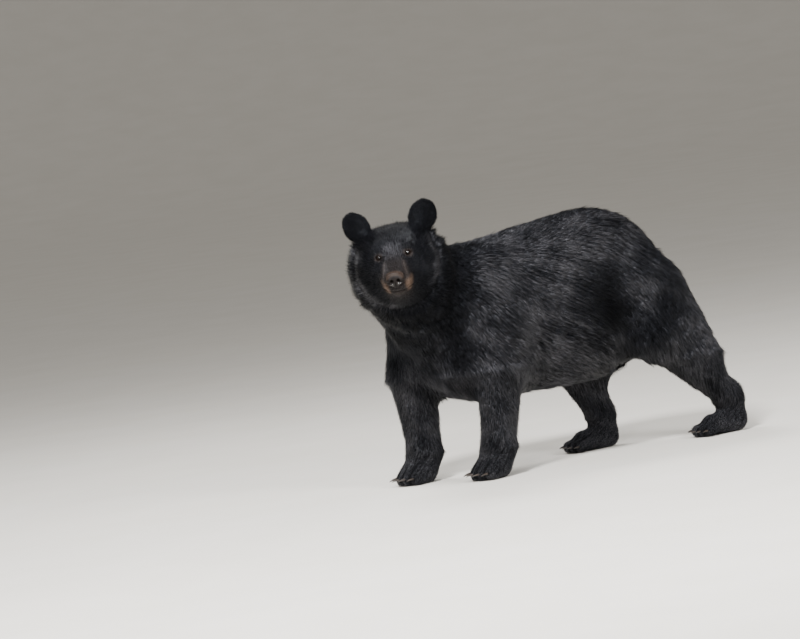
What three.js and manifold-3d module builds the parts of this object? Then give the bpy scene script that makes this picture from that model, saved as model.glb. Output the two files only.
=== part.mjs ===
// American black bear, life size: a grown male in his autumn coat, standing on all fours with
// the head turned to his left. Millimetres, +Z up. He walks towards -Y and his left is +X.
// Every form reaches out to the tips of the coat. The floor is z = 0.
import * as THREE from "three";
import { mergeVertices } from "three/addons/utils/BufferGeometryUtils.js";
import Module from "manifold-3d";

const wasm = await Module();
wasm.setup();

// ---- Driving dimensions -------------------------------------------------------------------
const GAP = 0.3; // the thin cut between two neighbouring sub-parts
const SOCKET_GAP = 0.55; // the same round a claw or the nose pad, whose facets eat into it
const OVERSIZE = 400; // how far a cutting block reaches past the flesh
const SHORT_EDGE = 0.2; // edges shorter than this, which cuts leave, are taken up
const SLIVER = 0.05; // and faces narrower than this
const TOUCHING = 0.01; // points nearer than this lie on one place
const DRAWN = 0.05; // how far one of them is moved off it

const RUMP_HEIGHT = 930;
const WITHERS_HEIGHT = 851;
const BELLY_CLEARANCE = 272;
const TRUNK_HALF_WIDTH = 268;
const CHEST_HALF_WIDTH = 232;
const HIP_HALF_WIDTH = 216;
const RUMP_END_Y = 572;

const STANCE_X = 152; // how far each foot stands from the midline
const FORE_WRIST = [68, 118]; // radius of the wrist, height of its middle
const FORE_ELBOW = [98, 420];
const HOCK = [58, 140];
const KNEE = [112, 430];
const FOREFOOT_Y = { left: -345, right: -492 };
const ELBOW_Y = { left: -275, right: -472 };
const HEEL_Y = { left: 735, right: 345 };
const KNEE_Y = { left: 400, right: 175 };

const EYE_LINE = [251, -701, 891]; // the point between the eyes
const HEAD_YAW = 56; // degrees to the left of straight ahead
const HEAD_PITCH = 20; // degrees, nose down
const HEAD_ROLL = 3.5; // degrees, left ear up
const EYE_HALF_SPACING = 55;
const EYEBALL_RADIUS = 12.5;
const EYE_DEPTH = 10.5; // the eyeball's middle, behind the face's surface
const LID_THICKNESS = 4;
const EYE_OPENING = [12, 10, 8]; // half width, depth, half height of the slit between the lids
const CRANIUM = [80, 112, 73]; // half width, half length, half height of each side
const CRANIUM_X = 42;
const CHEEK = [88, 80, 90];
const NAPE = [147, 56, 104]; // where the skull runs into the neck, under the locks of the ruff
const RUFF_LOCK = [92, 38, 8]; // length, width, thickness of one lock
const RUFF_ROWS = [[78, 13], [48, 14]]; // how far ahead of the neck each row is rooted, locks in it
const RUFF_ARC = [8, -188]; // degrees from ear to ear, by way of the throat
const LOCK_SIZES = [0.8, 1.2]; // the smallest and the largest, as shares of RUFF_LOCK
const LOCK_STAGGER = [-6, 6]; // how far a root stands off its row
const LOCK_LEAN = [-0.35, 0.35]; // how far a tip leans along the row, for one length back
const LOCK_SHAPE = [[0, 0.8, 1], [0.34, 1, 1], [0.7, 0.66, 0.7], [1, 0, 0]]; // length, width, thickness at each station
const LOCK_SUNK = 7; // how deep a lock is rooted
const LOCK_RISE = 9; // how far its tip stands off the flesh
const LOCK_CLEAR = 5.8; // and its middle, where it passes over the cut to the neck
const LOCK_PLACE = [0.3, 0.7]; // where in its share of the row a lock is rooted
const LOCK_SEED = 7;
const SEED_FACTOR = 1664525; // the draw's next number is the last one times this
const SEED_STEP = 1013904223; // and this more
const SEARCH_STEP = 0.5; // how finely the flesh's surface is sought
const MUZZLE_LENGTH = 138; // from the eyes to the back of the nose pad
const NOSE_Z = -49; // the nose pad's middle, below the eyes
const NOSTRIL_X = 13;
const MOUTH_Z = -97;
const MOUTH_CORNER_Y = -45;
const MOUTH_DROP = 0.075; // radians, down towards the corners
const LIP_SEAM = [3.2, 38]; // height of the mouth line's groove, half width left inside it
const EAR = [52, 21, 61]; // half width, half thickness, half height of the whole disc
const EAR_CUP = [40, 15, 48];
const EAR_SEAT = [123, 98, 80]; // the disc's middle, in the head's frame
const EAR_SPLAY = 29; // degrees outwards
const EAR_TURN = 16;
const TAIL_ROOT_Z = 705;
const TAIL_LENGTH = 110;

const FORE_CLAW = [44, 6.2]; // length, root radius
const HIND_CLAW = [30, 5.2];
const TOE_PITCH = 29;

// Size of the grid that each sub-part's surface is drawn on.
const CELL = { torso: 52, neck: 39, limb: 36, paw: 16.2, head: 11, nose: 10.4, tail: 24.5 };
const FACE_FOCUS = [0, -45, -16]; // the face's grid is finest here and widens away from it
const FACE_REACH = 118;
const TOE_REACH = 160;

// ---- Materials ----------------------------------------------------------------------------
const matt = (color, roughness) =>
  new THREE.MeshStandardMaterial({ color, roughness, metalness: 0 });
const BLACK_FUR = () => matt(0x16161a, 0.75);
const NOSE_SKIN = () => matt(0x241c1a, 0.35);
const EYE_BROWN = () => matt(0x2a1810, 0.08);
const CLAW_HORN = () => matt(0x2b2622, 0.4);

// ---- Fields: the signed distance to a form's surface, negative inside -----------------------
const ellipsoid =
  ([cx, cy, cz], [a, b, c]) =>
  (x, y, z) => {
    const u = (x - cx) / a,
      v = (y - cy) / b,
      w = (z - cz) / c;
    const k0 = Math.hypot(u, v, w),
      k1 = Math.hypot(u / a, v / b, w / c);
    return k1 > 1e-9 ? (k0 * (k0 - 1)) / k1 : -Math.min(a, b, c);
  };

// A limb tapers from radius ra at a to rb at b, and is `wide` times as thick across X.
const limb = (a, b, ra, rb, wide = 1) => {
  const d = [b[0] - a[0], b[1] - a[1], b[2] - a[2]];
  const dd = d[0] ** 2 + d[1] ** 2 + d[2] ** 2;
  return (x, y, z) => {
    const px = x - a[0],
      py = y - a[1],
      pz = z - a[2];
    const t = Math.min(1, Math.max(0, (px * d[0] + py * d[1] + pz * d[2]) / dd));
    const r = Math.hypot((px - t * d[0]) / wide, py - t * d[1], pz - t * d[2]);
    return r - (ra + t * (rb - ra));
  };
};

const smoothMin = (a, b, k) => {
  const h = Math.max(k - Math.abs(a - b), 0) / k;
  return Math.min(a, b) - (h * h * k) / 4;
};

// Each form is [field, softness]; a negative softness presses the form in as a dent.
const blend = (forms) => (x, y, z) => {
  let d = 1e4;
  for (const [field, soft] of forms)
    d =
      soft > 0
        ? smoothMin(d, field(x, y, z), soft)
        : -smoothMin(-d, field(x, y, z), -soft);
  return d;
};

// ---- Solids ---------------------------------------------------------------------------------
function solid(geometry) {
  const g = geometry.clone();
  for (const name of Object.keys(g.attributes))
    if (name !== "position") g.deleteAttribute(name);
  const merged = mergeVertices(g, 1e-3);
  return new wasm.Manifold(
    new wasm.Mesh({
      numProp: 3,
      vertProperties: new Float32Array(merged.attributes.position.array),
      triVerts: new Uint32Array(merged.index.array),
    }),
  );
}

const largest = (made) =>
  made.decompose().reduce((a, b) => (a.volume() > b.volume() ? a : b));

// Takes up the short edges and slivers that a cut leaves: the ends of a short edge become one
// point, and the long edge of a sliver is laid across to the point on its far side.
function tidied(points, triangles) {
  const PASSES = 12;
  const at = (i) => new THREE.Vector3().fromArray(points, 3 * i);
  let faces = [];
  for (let i = 0; i < triangles.length; i += 3) faces.push([...triangles.subarray(i, i + 3)]);
  for (let pass = 0; pass < PASSES; pass++) {
    const near = new Map();
    const faceOn = new Map();
    faces.forEach((f, n) =>
      f.forEach((a, i) => {
        const b = f[(i + 1) % 3];
        for (const [u, v] of [[a, b], [b, a]]) near.set(u, (near.get(u) ?? new Set()).add(v));
        faceOn.set(a + ":" + b, n);
      }),
    );
    const moved = new Set();
    const into = new Map();
    const free = (list) => list.every((v) => !moved.has(v));
    const hold = (list) => list.forEach((v) => moved.add(v));
    faces.forEach((f, n) => {
      const sides = f.map((a, i) => [a, f[(i + 1) % 3], f[(i + 2) % 3], at(a).distanceTo(at(f[(i + 1) % 3]))]);
      sides.sort((p, q) => p[3] - q[3]);
      const [a, b, , short] = sides[0];
      const [c, d, tip, long] = sides[2];
      const area = at(d).sub(at(c)).cross(at(tip).sub(at(c))).length() / 2;
      if (short < SHORT_EDGE) {
        const around = [...near.get(a), ...near.get(b)];
        const shared = [...near.get(a)].filter((v) => near.get(b).has(v));
        if (shared.length !== 2 || !free(around)) return;
        hold(around);
        into.set(b, a);
      } else if ((2 * area) / long < SLIVER && free(f)) {
        const m = faceOn.get(d + ":" + c);
        const over = faces[m].find((v) => v !== c && v !== d);
        if (near.get(tip).has(over) || !free([over])) return;
        hold([c, d, tip, over]);
        faces[n] = [tip, c, over];
        faces[m] = [over, d, tip];
      }
    });
    if (!moved.size) break;
    faces = faces
      .map((f) => f.map((v) => into.get(v) ?? v))
      .filter(([a, b, c]) => a !== b && b !== c && c !== a);
  }
  return new Uint32Array(faces.flat());
}

// Where two folds of a surface touch, one of each pair of points that lie on one place is drawn
// a little towards its own neighbours, so that every edge belongs to two faces only.
function partTouching(points, triangles) {
  const sum = new Float64Array(points.length);
  const count = new Uint32Array(points.length / 3);
  triangles.forEach((a, i) => {
    for (const b of [1, 2].map((step) => triangles[i - (i % 3) + ((i + step) % 3)]))
      for (let q = 0; q < 3; q++) sum[3 * a + q] += points[3 * b + q];
    count[a] += 2;
  });
  const taken = new Set();
  count.forEach((n, a) => {
    if (!n) return;
    const here = Array.from(points.subarray(3 * a, 3 * a + 3));
    const place = here.map((v) => Math.round(v / TOUCHING)).join();
    if (taken.has(place)) {
      const away = new THREE.Vector3(...here.map((v, q) => sum[3 * a + q] / n - v)).setLength(DRAWN);
      here.forEach((v, q) => (points[3 * a + q] = v + away.getComponent(q)));
    }
    taken.add(place);
  });
}

function mesh(name, made, material) {
  const { vertProperties, triVerts: cut } = largest(made).getMesh();
  const triVerts = tidied(vertProperties, cut);
  partTouching(vertProperties, triVerts);
  const g = new THREE.BufferGeometry();
  g.setAttribute("position", new THREE.BufferAttribute(vertProperties, 3));
  g.setIndex(new THREE.BufferAttribute(triVerts, 1));
  g.computeVertexNormals();
  const m = new THREE.Mesh(g, material);
  m.name = name;
  return m;
}

const block = (min, max) => {
  const size = max.map((v, i) => v - min[i]);
  return solid(
    new THREE.BoxGeometry(...size).translate(
      ...min.map((v, i) => v + size[i] / 2),
    ),
  );
};

// A half space: a large block whose one face lies on the plane through `point`, on the side
// that `normal` points to. `inset` moves that face along the normal.
function half(point, normal, inset = 0) {
  const n = new THREE.Vector3(...normal).normalize();
  const size = 4 * OVERSIZE;
  const g = new THREE.BoxGeometry(size, size, size).translate(0, 0, size / 2);
  g.applyQuaternion(
    new THREE.Quaternion().setFromUnitVectors(new THREE.Vector3(0, 0, 1), n),
  );
  return solid(g.translate(...point.map((v, i) => v + n.getComponent(i) * inset)));
}

// Which way is out of a form at a point, and how fast its field grows there.
const slope = (field, p) =>
  [0, 1, 2].map((i) => {
    const h = 0.5;
    const a = [...p],
      b = [...p];
    a[i] += h;
    b[i] -= h;
    return (field(...a) - field(...b)) / (2 * h);
  });

// The surface of a field as a closed solid: one vertex in each cell that the surface crosses,
// moved onto the surface, and a quad across each grid edge that it crosses.
// With a focus, cells are `cell` wide there and grow by that much again every `reach`.
function skin(field, min, max, cell, focus = [0, 0, 0], reach = 1e6) {
  const squeeze = (v) => Math.sign(v) * reach * Math.log1p(Math.abs(v) / reach);
  const low = min.map((v, q) => focus[q] + squeeze(v - focus[q]));
  const high = max.map((v, q) => focus[q] + squeeze(v - focus[q]));
  const n = low.map((v, q) => Math.ceil((high[q] - v) / cell) + 1);
  const at = (i, j, k) => (k * n[1] + j) * n[0] + i;
  const value = new Float64Array(n[0] * n[1] * n[2]);
  const place = (i, j, k) => {
    const v = [i, j, k].map((c, q) => low[q] + c * cell - focus[q]);
    const r = Math.hypot(...v) || 1;
    return v.map((c, q) => focus[q] + (c / r) * reach * Math.expm1(r / reach));
  };
  for (let k = 0; k < n[2]; k++)
    for (let j = 0; j < n[1]; j++)
      for (let i = 0; i < n[0]; i++) {
        const d = field(...place(i, j, k));
        const rim =
          i * j * k === 0 || i === n[0] - 1 || j === n[1] - 1 || k === n[2] - 1;
        value[at(i, j, k)] = rim ? Math.max(d, cell / 2) : d;
      }

  const points = [];
  const vertexOf = new Map();
  const corners = [0, 1, 2, 3, 4, 5, 6, 7].map((c) => [c & 1, (c >> 1) & 1, c >> 2]);
  const edges = [];
  corners.forEach((a, i) =>
    corners.forEach((b, j) => {
      if (i < j && Math.abs(a[0] - b[0]) + Math.abs(a[1] - b[1]) + Math.abs(a[2] - b[2]) === 1)
        edges.push([a, b]);
    }),
  );
  const settle = (p) => {
    for (let step = 0; step < 3; step++) {
      const d = field(...p);
      if (Math.abs(d) > 2 * cell) return p; // a cap inside the flesh, which a cut takes away
      const g = slope(field, p);
      const gg = g[0] ** 2 + g[1] ** 2 + g[2] ** 2;
      if (gg < 0.05) return p;
      p = p.map((v, i) => v - (d * g[i]) / gg);
    }
    return p;
  };
  const vertex = (i, j, k) => {
    const key = at(i, j, k);
    if (vertexOf.has(key)) return vertexOf.get(key);
    const sum = [0, 0, 0];
    let count = 0;
    for (const [a, b] of edges) {
      const va = value[at(i + a[0], j + a[1], k + a[2])],
        vb = value[at(i + b[0], j + b[1], k + b[2])];
      if (va < 0 === vb < 0) continue;
      const t = va / (va - vb);
      for (let q = 0; q < 3; q++) sum[q] += a[q] + t * (b[q] - a[q]);
      count++;
    }
    const p = settle(place(...[i, j, k].map((v, q) => v + sum[q] / count)));
    vertexOf.set(key, points.length / 3);
    points.push(...p);
    return vertexOf.get(key);
  };

  const faces = [];
  const far = (a, b) =>
    Math.hypot(...[0, 1, 2].map((q) => points[3 * a + q] - points[3 * b + q]));
  const quad = (a, b, c, d) => {
    if (far(a, c) < far(b, d)) faces.push(a, b, c, a, c, d);
    else faces.push(b, c, d, b, d, a);
  };
  for (let k = 0; k < n[2] - 1; k++)
    for (let j = 0; j < n[1] - 1; j++)
      for (let i = 0; i < n[0] - 1; i++) {
        const inside = value[at(i, j, k)] < 0;
        const rings = [
          [[1, 0, 0], [0, -1, -1], [0, 0, -1], [0, 0, 0], [0, -1, 0]],
          [[0, 1, 0], [-1, 0, -1], [-1, 0, 0], [0, 0, 0], [0, 0, -1]],
          [[0, 0, 1], [-1, -1, 0], [0, -1, 0], [0, 0, 0], [-1, 0, 0]],
        ];
        for (const [[di, dj, dk], ...ring] of rings) {
          if (inside === value[at(i + di, j + dj, k + dk)] < 0) continue;
          const around = ring.map(([a, b, c]) => vertex(i + a, j + b, k + c));
          quad(...(inside ? around : around.reverse()));
        }
      }
  const g = new THREE.BufferGeometry();
  g.setAttribute("position", new THREE.Float32BufferAttribute(points, 3));
  g.setIndex(faces);
  return solid(g);
}

// ---- The body's flesh, in the bear's own frame ------------------------------------------------
const SIDES = { left: 1, right: -1 };

function trunk() {
  const middle = (top) => (top + BELLY_CLEARANCE) / 2;
  const halfHeight = (top) => (top - BELLY_CLEARANCE) / 2;
  const waist = RUMP_HEIGHT - 20;
  return [
    [ellipsoid([0, -280, middle(WITHERS_HEIGHT)], [CHEST_HALF_WIDTH, 270, halfHeight(WITHERS_HEIGHT)]), 90],
    [ellipsoid([0, 20, middle(waist) - 4], [TRUNK_HALF_WIDTH, 430, halfHeight(waist)]), 110],
    [ellipsoid([0, RUMP_END_Y - 320, middle(RUMP_HEIGHT) + 8], [HIP_HALF_WIDTH, 310, halfHeight(RUMP_HEIGHT) - 9]), 90],
  ];
}

function neckForms() {
  return [
    [limb([0, -330, 640], [70, -515, 745], 205, 172), 70],
    [limb([34, -496, 640], [128, -622, 815], 150, 173), 60],
  ];
}

function foreleg(name) {
  const side = SIDES[name];
  const foot = FOREFOOT_Y[name],
    elbow = ELBOW_Y[name];
  const [wristRadius, wristHeight] = FORE_WRIST;
  const [elbowRadius, elbowHeight] = FORE_ELBOW;
  return [
    [ellipsoid([side * 126, (elbow - 290) / 2 + 22, 590], [115, 160, 235]), 90],
    [limb([side * 142, elbow + 18, 560], [side * (STANCE_X + 4), elbow, elbowHeight], 108, elbowRadius), 50],
    [limb([side * (STANCE_X + 4), elbow, elbowHeight], [side * STANCE_X, foot + 22, wristHeight], elbowRadius, wristRadius, 0.92), 40],
    [limb([side * STANCE_X, foot + 22, wristHeight], [side * STANCE_X, foot + 2, 52], wristRadius, 56), 30],
  ];
}

function forepaw(name) {
  const side = SIDES[name];
  const foot = FOREFOOT_Y[name];
  const toes = [-2, -1, 0, 1, 2].map((t) => [
    ellipsoid([side * STANCE_X + t * TOE_PITCH, foot - 78 + 7 * t * t, 24], [18.5, 36, 30]),
    10,
  ]);
  return [[ellipsoid([side * STANCE_X, foot - 22, 40], [70, 70, 52]), 24], ...toes];
}

function hindLeg(name) {
  const side = SIDES[name];
  const heel = HEEL_Y[name],
    knee = KNEE_Y[name];
  const [hockRadius, hockHeight] = HOCK;
  const [kneeRadius, kneeHeight] = KNEE;
  const hip = [side * 118, 378, 592];
  const kneeAt = [side * (STANCE_X + 22), knee, kneeHeight];
  const hock = [side * STANCE_X, heel - 40, hockHeight];
  const hamstring = [side * (STANCE_X + 4), (heel + knee) / 2 + 40, 300];
  return [
    [limb(hip, kneeAt, 158, kneeRadius, 0.88), 60],
    [limb([side * 126, 457, 556], hamstring, 133, 80, 0.9), 60],
    [limb(kneeAt, hock, kneeRadius - 14, hockRadius, 0.9), 50],
    [limb(hock, [side * STANCE_X, heel - 28, 62], hockRadius, 48), 30],
  ];
}

function hindPaw(name) {
  const side = SIDES[name];
  const heel = HEEL_Y[name];
  const toes = [-2, -1, 0, 1, 2].map((t) => [
    ellipsoid([side * STANCE_X + t * (TOE_PITCH - 3), heel - 185 + 5 * t * t, 23], [17, 32, 27]),
    10,
  ]);
  return [
    [limb([side * STANCE_X, heel - 24, 37], [side * STANCE_X, heel - 125, 36], 43, 46, 1.25), 24],
    ...toes,
  ];
}

function tailForms() {
  return [
    [limb([0, RUMP_END_Y - 48, TAIL_ROOT_Z], [0, RUMP_END_Y + 18, TAIL_ROOT_Z - TAIL_LENGTH], 40, 24), 16],
  ];
}

// ---- The head's flesh, in a frame whose origin lies between the eyes -------------------------
const headGroup = new THREE.Group();
headGroup.rotation.set(
  THREE.MathUtils.degToRad(HEAD_PITCH),
  THREE.MathUtils.degToRad(-HEAD_ROLL),
  THREE.MathUtils.degToRad(HEAD_YAW),
  "ZXY",
);
headGroup.position.set(...EYE_LINE);
headGroup.updateMatrix();
const headToBear = headGroup.matrix.clone();
const bearToHead = headToBear.clone().invert();

function headForms() {
  const both = (make) => [make(1), make(-1)];
  return [
    ...both((s) => [ellipsoid([s * CRANIUM_X, 88, -34], CRANIUM), 50]),
    ...both((s) => [ellipsoid([s * 60, 82, -54], CHEEK), 60]),
    [ellipsoid([0, 96, -112], [98, 92, 84]), 60],
    [ellipsoid([0, 116, -84], NAPE), 36],
    [ellipsoid([0, 16, -8], [72, 54, 42]), 40],
    ...both((s) => [ellipsoid([s * (EYE_HALF_SPACING - 2), -3, 4], [24, 22, 17]), 16]),
    ...both((s) => [limb([s * 22, 10, -54], [s * 20, -98, -70], 44, 33), 22]),
    ...both((s) => [limb([s * 15, 14, -24], [s * 13, 20 - MUZZLE_LENGTH, -40], 34, 25), 14]),
    [limb([0, 20, -108], [0, -86, -108], 42, 24, 1.3), 18],
  ];
}

const bodyField = blend([
  ...trunk(),
  ...neckForms(),
  ...foreleg("left"),
  ...foreleg("right"),
  ...hindLeg("left"),
  ...hindLeg("right"),
]);
const pawField = blend([
  ...forepaw("left"),
  ...forepaw("right"),
  ...hindPaw("left"),
  ...hindPaw("right"),
]);
const tailField = blend(tailForms());
const headField = blend(headForms());

const NECK_SOFTNESS = 50;
const FOOT_SOFTNESS = 26;
const carried = (matrix) => {
  const e = matrix.elements;
  return (x, y, z) => [
    e[0] * x + e[4] * y + e[8] * z + e[12],
    e[1] * x + e[5] * y + e[9] * z + e[13],
    e[2] * x + e[6] * y + e[10] * z + e[14],
  ];
};
const toHead = carried(bearToHead),
  toBear = carried(headToBear);
const flesh = (x, y, z) => {
  let d = smoothMin(bodyField(x, y, z), headField(...toHead(x, y, z)), NECK_SOFTNESS);
  if (z < 260) d = smoothMin(d, pawField(x, y, z), FOOT_SOFTNESS);
  return d;
};
const headFlesh = (x, y, z) =>
  smoothMin(headField(x, y, z), bodyField(...toBear(x, y, z)), NECK_SOFTNESS);

// ---- The cuts between the sub-parts -----------------------------------------------------------
const NECK_ROOT = { point: [0, -425, 700], normal: [0.16, -0.74, 0.66] };
const HEAD_ROOT = { point: [0, 118, -60], normal: [0, -0.93, 0.37] }; // in the head's frame
const headRootPoint = toBear(...HEAD_ROOT.point);
const headRootNormal = new THREE.Vector3(...HEAD_ROOT.normal)
  .transformDirection(headToBear)
  .toArray();
const TAIL_CUT_Y = RUMP_END_Y - 22;
const TAIL_BLOCK = 50;
const ANKLE = { fore: 118, hind: 128 }; // height of the cut above each foot
const HIND_LEG_CUT = 330; // between thigh and lower leg
const LEG_INNER_X = 48;

const legBlock = {
  foreleg: (side, foot, elbow, grow = 0) =>
    block(
      [side > 0 ? LEG_INNER_X - grow : -OVERSIZE, Math.min(foot, elbow) - 150 - grow, -50],
      [side > 0 ? OVERSIZE : -LEG_INNER_X + grow, elbow + 112 + grow, 415 + grow],
    ),
  hindLeg: (side, heel, knee, grow = 0) =>
    block(
      [side > 0 ? LEG_INNER_X - grow : -OVERSIZE, Math.min(knee, heel - 250) - 140 - grow, -50],
      [side > 0 ? OVERSIZE : -LEG_INNER_X + grow, RUMP_END_Y + OVERSIZE, 520 + grow],
    ),
};

// ---- Sub-parts ----------------------------------------------------------------------------------
const FLOOR_CUT = half([0, 0, 0], [0, 0, 1]);

function torso() {
  let made = skin(flesh, [-380, -720, 150], [380, 760, 1060], CELL.torso);
  made = made
    .subtract(half(NECK_ROOT.point, NECK_ROOT.normal, -GAP))
    .subtract(block([-TAIL_BLOCK - GAP, TAIL_CUT_Y - GAP, 560 - GAP], [TAIL_BLOCK + GAP, RUMP_END_Y + OVERSIZE, TAIL_ROOT_Z + 42 + GAP]));
  for (const [name, side] of Object.entries(SIDES))
    made = made
      .subtract(legBlock.foreleg(side, FOREFOOT_Y[name], ELBOW_Y[name], GAP))
      .subtract(legBlock.hindLeg(side, HEEL_Y[name], KNEE_Y[name], GAP));
  return mesh("torso", made, BLACK_FUR());
}

function neck() {
  const made = skin(flesh, [-320, -860, 420], [420, -120, 1120], CELL.neck)
    .intersect(half(NECK_ROOT.point, NECK_ROOT.normal))
    .subtract(half(headRootPoint, headRootNormal, -GAP));
  return mesh("neck", made, BLACK_FUR());
}

function tail() {
  const field = (x, y, z) => smoothMin(tailField(x, y, z), flesh(x, y, z), 30);
  const made = skin(field, [-120, 500, 520], [120, 700, 840], CELL.tail).intersect(
    block([-TAIL_BLOCK, TAIL_CUT_Y, 560], [TAIL_BLOCK, RUMP_END_Y + OVERSIZE, TAIL_ROOT_Z + 42]),
  );
  return mesh("tail", made, BLACK_FUR());
}

function forelegParts(name) {
  const side = SIDES[name];
  const foot = FOREFOOT_Y[name],
    elbow = ELBOW_Y[name];
  const inX = side * STANCE_X;
  const leg = skin(flesh, [inX - 220, foot - 260, 60], [inX + 220, elbow + 220, 520], CELL.limb)
    .intersect(legBlock.foreleg(side, foot, elbow))
    .subtract(half([0, 0, ANKLE.fore], [0, 0, -1], -GAP));
  const toes = [inX, foot - 95, 20];
  let paw = skin(flesh, [inX - 120, foot - 170, -60], [inX + 120, foot + 150, 165], CELL.paw, toes, TOE_REACH)
    .intersect(FLOOR_CUT)
    .intersect(half([0, 0, ANKLE.fore], [0, 0, -1]));
  const claws = [];
  for (const t of [-2, -1, 0, 1, 2]) {
    const root = [inX + t * TOE_PITCH, foot - 78 + 7 * t * t - 22, 27];
    paw = paw.subtract(claw(FORE_CLAW, root, t * 5, SOCKET_GAP));
    claws.push(mesh(`claw_fore_${name}_${t + 3}`, claw(FORE_CLAW, root, t * 5, 0), CLAW_HORN()));
  }
  return [mesh(`foreleg_${name}`, leg, BLACK_FUR()), mesh(`forepaw_${name}`, paw, BLACK_FUR()), ...claws];
}

function hindLegParts(name) {
  const side = SIDES[name];
  const heel = HEEL_Y[name],
    knee = KNEE_Y[name];
  const inX = side * STANCE_X;
  const low = Math.min(knee, heel - 250) - 260;
  const whole = skin(flesh, [inX - 230, low, 60], [inX + 230, 860, 640], CELL.limb)
    .intersect(legBlock.hindLeg(side, heel, knee));
  const thigh = whole.intersect(half([0, 0, HIND_LEG_CUT], [0, 0, 1]));
  const shank = whole
    .intersect(half([0, 0, HIND_LEG_CUT], [0, 0, -1], GAP))
    .subtract(half([0, 0, ANKLE.hind], [0, 0, -1], -GAP));
  const toes = [inX, heel - 200, 20];
  let paw = skin(flesh, [inX - 120, heel - 264, -60], [inX + 120, heel + 110, 175], CELL.paw, toes, TOE_REACH)
    .intersect(FLOOR_CUT)
    .intersect(half([0, 0, ANKLE.hind], [0, 0, -1]));
  const claws = [];
  for (const t of [-2, -1, 0, 1, 2]) {
    const root = [inX + t * (TOE_PITCH - 3), heel - 185 + 5 * t * t - 19, 25];
    paw = paw.subtract(claw(HIND_CLAW, root, t * 4, SOCKET_GAP));
    claws.push(mesh(`claw_hind_${name}_${t + 3}`, claw(HIND_CLAW, root, t * 4, 0), CLAW_HORN()));
  }
  return [
    mesh(`thigh_${name}`, thigh, BLACK_FUR()),
    mesh(`shank_${name}`, shank, BLACK_FUR()),
    mesh(`hindpaw_${name}`, paw, BLACK_FUR()),
    ...claws,
  ];
}

// A claw: a tapered cone bent down along its length, its root sunk in the toe.
function claw([length, radius], root, turn, grow) {
  const CURL = 0.85; // radians from root to tip
  const g = new THREE.ConeGeometry(radius + grow, length + grow, 6, 3).translate(0, length / 2, 0);
  const p = g.attributes.position;
  for (let i = 0; i < p.count; i++) {
    const [x, s, w] = [p.getX(i), p.getY(i), p.getZ(i)];
    const a = 0.25 - (CURL * s) / length;
    const along = (length / CURL) * (Math.sin(0.25) - Math.sin(a));
    const drop = (length / CURL) * (Math.cos(a) - Math.cos(0.25));
    p.setXYZ(i, -x, -along + w * Math.sin(a), drop + w * Math.cos(a));
  }
  g.rotateZ(THREE.MathUtils.degToRad(turn)).translate(...root);
  return solid(g);
}

// ---- The head's fine forms, all in its own frame --------------------------------------------
const ball = (radii, [x, y, z], wide = 14, high = 10) =>
  new THREE.SphereGeometry(1, wide, high).scale(...radii).translate(x, y, z);
const grown = (radii, by) => radii.map((r) => r + by);

// Where the face's surface lies in front of this place between the ears and chin, and which
// way it faces.
function faceAt(x, z) {
  let y = -200;
  while (headField(x, y, z) > 0) y += 0.5;
  const facing = [[1, 0, 0], [0, 1, 0], [0, 0, 1]].map(
    ([i, j, k]) => headField(x + i, y + j, z + k) - headField(x - i, y - j, z - k),
  );
  return { point: new THREE.Vector3(x, y, z), facing: new THREE.Vector3(...facing).normalize() };
}
function eyeSet(side) {
  const { point, facing } = faceAt(side * EYE_HALF_SPACING, 0);
  const centre = point.clone().addScaledVector(facing, -EYE_DEPTH);
  return { facing, centre };
}
const eyeSphere = (side, by = 0) =>
  solid(ball(Array(3).fill(EYEBALL_RADIUS + by), eyeSet(side).centre.toArray(), 12, 8));

// The ear: a round furred disc, hollowed in front, splayed outwards and set into the skull.
function ear(side, grow = 0) {
  const set = (g) =>
    solid(
      g
        .rotateX(THREE.MathUtils.degToRad(-8))
        .rotateY(THREE.MathUtils.degToRad(side * EAR_SPLAY))
        .rotateZ(THREE.MathUtils.degToRad(side * EAR_TURN))
        .translate(side * EAR_SEAT[0], EAR_SEAT[1], EAR_SEAT[2]),
    );
  const disc = set(ball(grown(EAR, grow), [0, 0, 0], 16, 9));
  const cup = set(ball(grown(EAR_CUP, -grow), [0, -15, -1], 12, 7));
  return disc.subtract(cup);
}

// The nose pad: a leathery cap on the end of the muzzle, with two wings round the nostrils.
const noseField = blend([
  [ellipsoid([0, 2 - MUZZLE_LENGTH, NOSE_Z + 5], [33, 17, 19]), 10],
  [ellipsoid([16, 1 - MUZZLE_LENGTH, NOSE_Z - 3], [17, 17, 18]), 8],
  [ellipsoid([-16, 1 - MUZZLE_LENGTH, NOSE_Z - 3], [17, 17, 18]), 8],
  [ellipsoid([0, 1 - MUZZLE_LENGTH, NOSE_Z - 16], [15, 15, 17]), 8],
]);
function nose(grow = 0) {
  const pad = skin(
    (x, y, z) => noseField(x, y, z) - grow,
    [-46, -32 - MUZZLE_LENGTH, NOSE_Z - 44],
    [46, 32 - MUZZLE_LENGTH, NOSE_Z + 38],
    CELL.nose,
  );
  if (grow) return pad;
  return [1, -1].reduce((made, side) => {
    const front = -MUZZLE_LENGTH - 15;
    const hole = solid(ball([4.6, 11, 5.2], [side * NOSTRIL_X, front, NOSE_Z - 1], 10, 8));
    const slit = solid(ball([7, 9, 2.2], [side * (NOSTRIL_X + 8), front + 3, NOSE_Z - 4], 10, 6));
    return made.subtract(hole).subtract(slit);
  }, pad);
}

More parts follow.
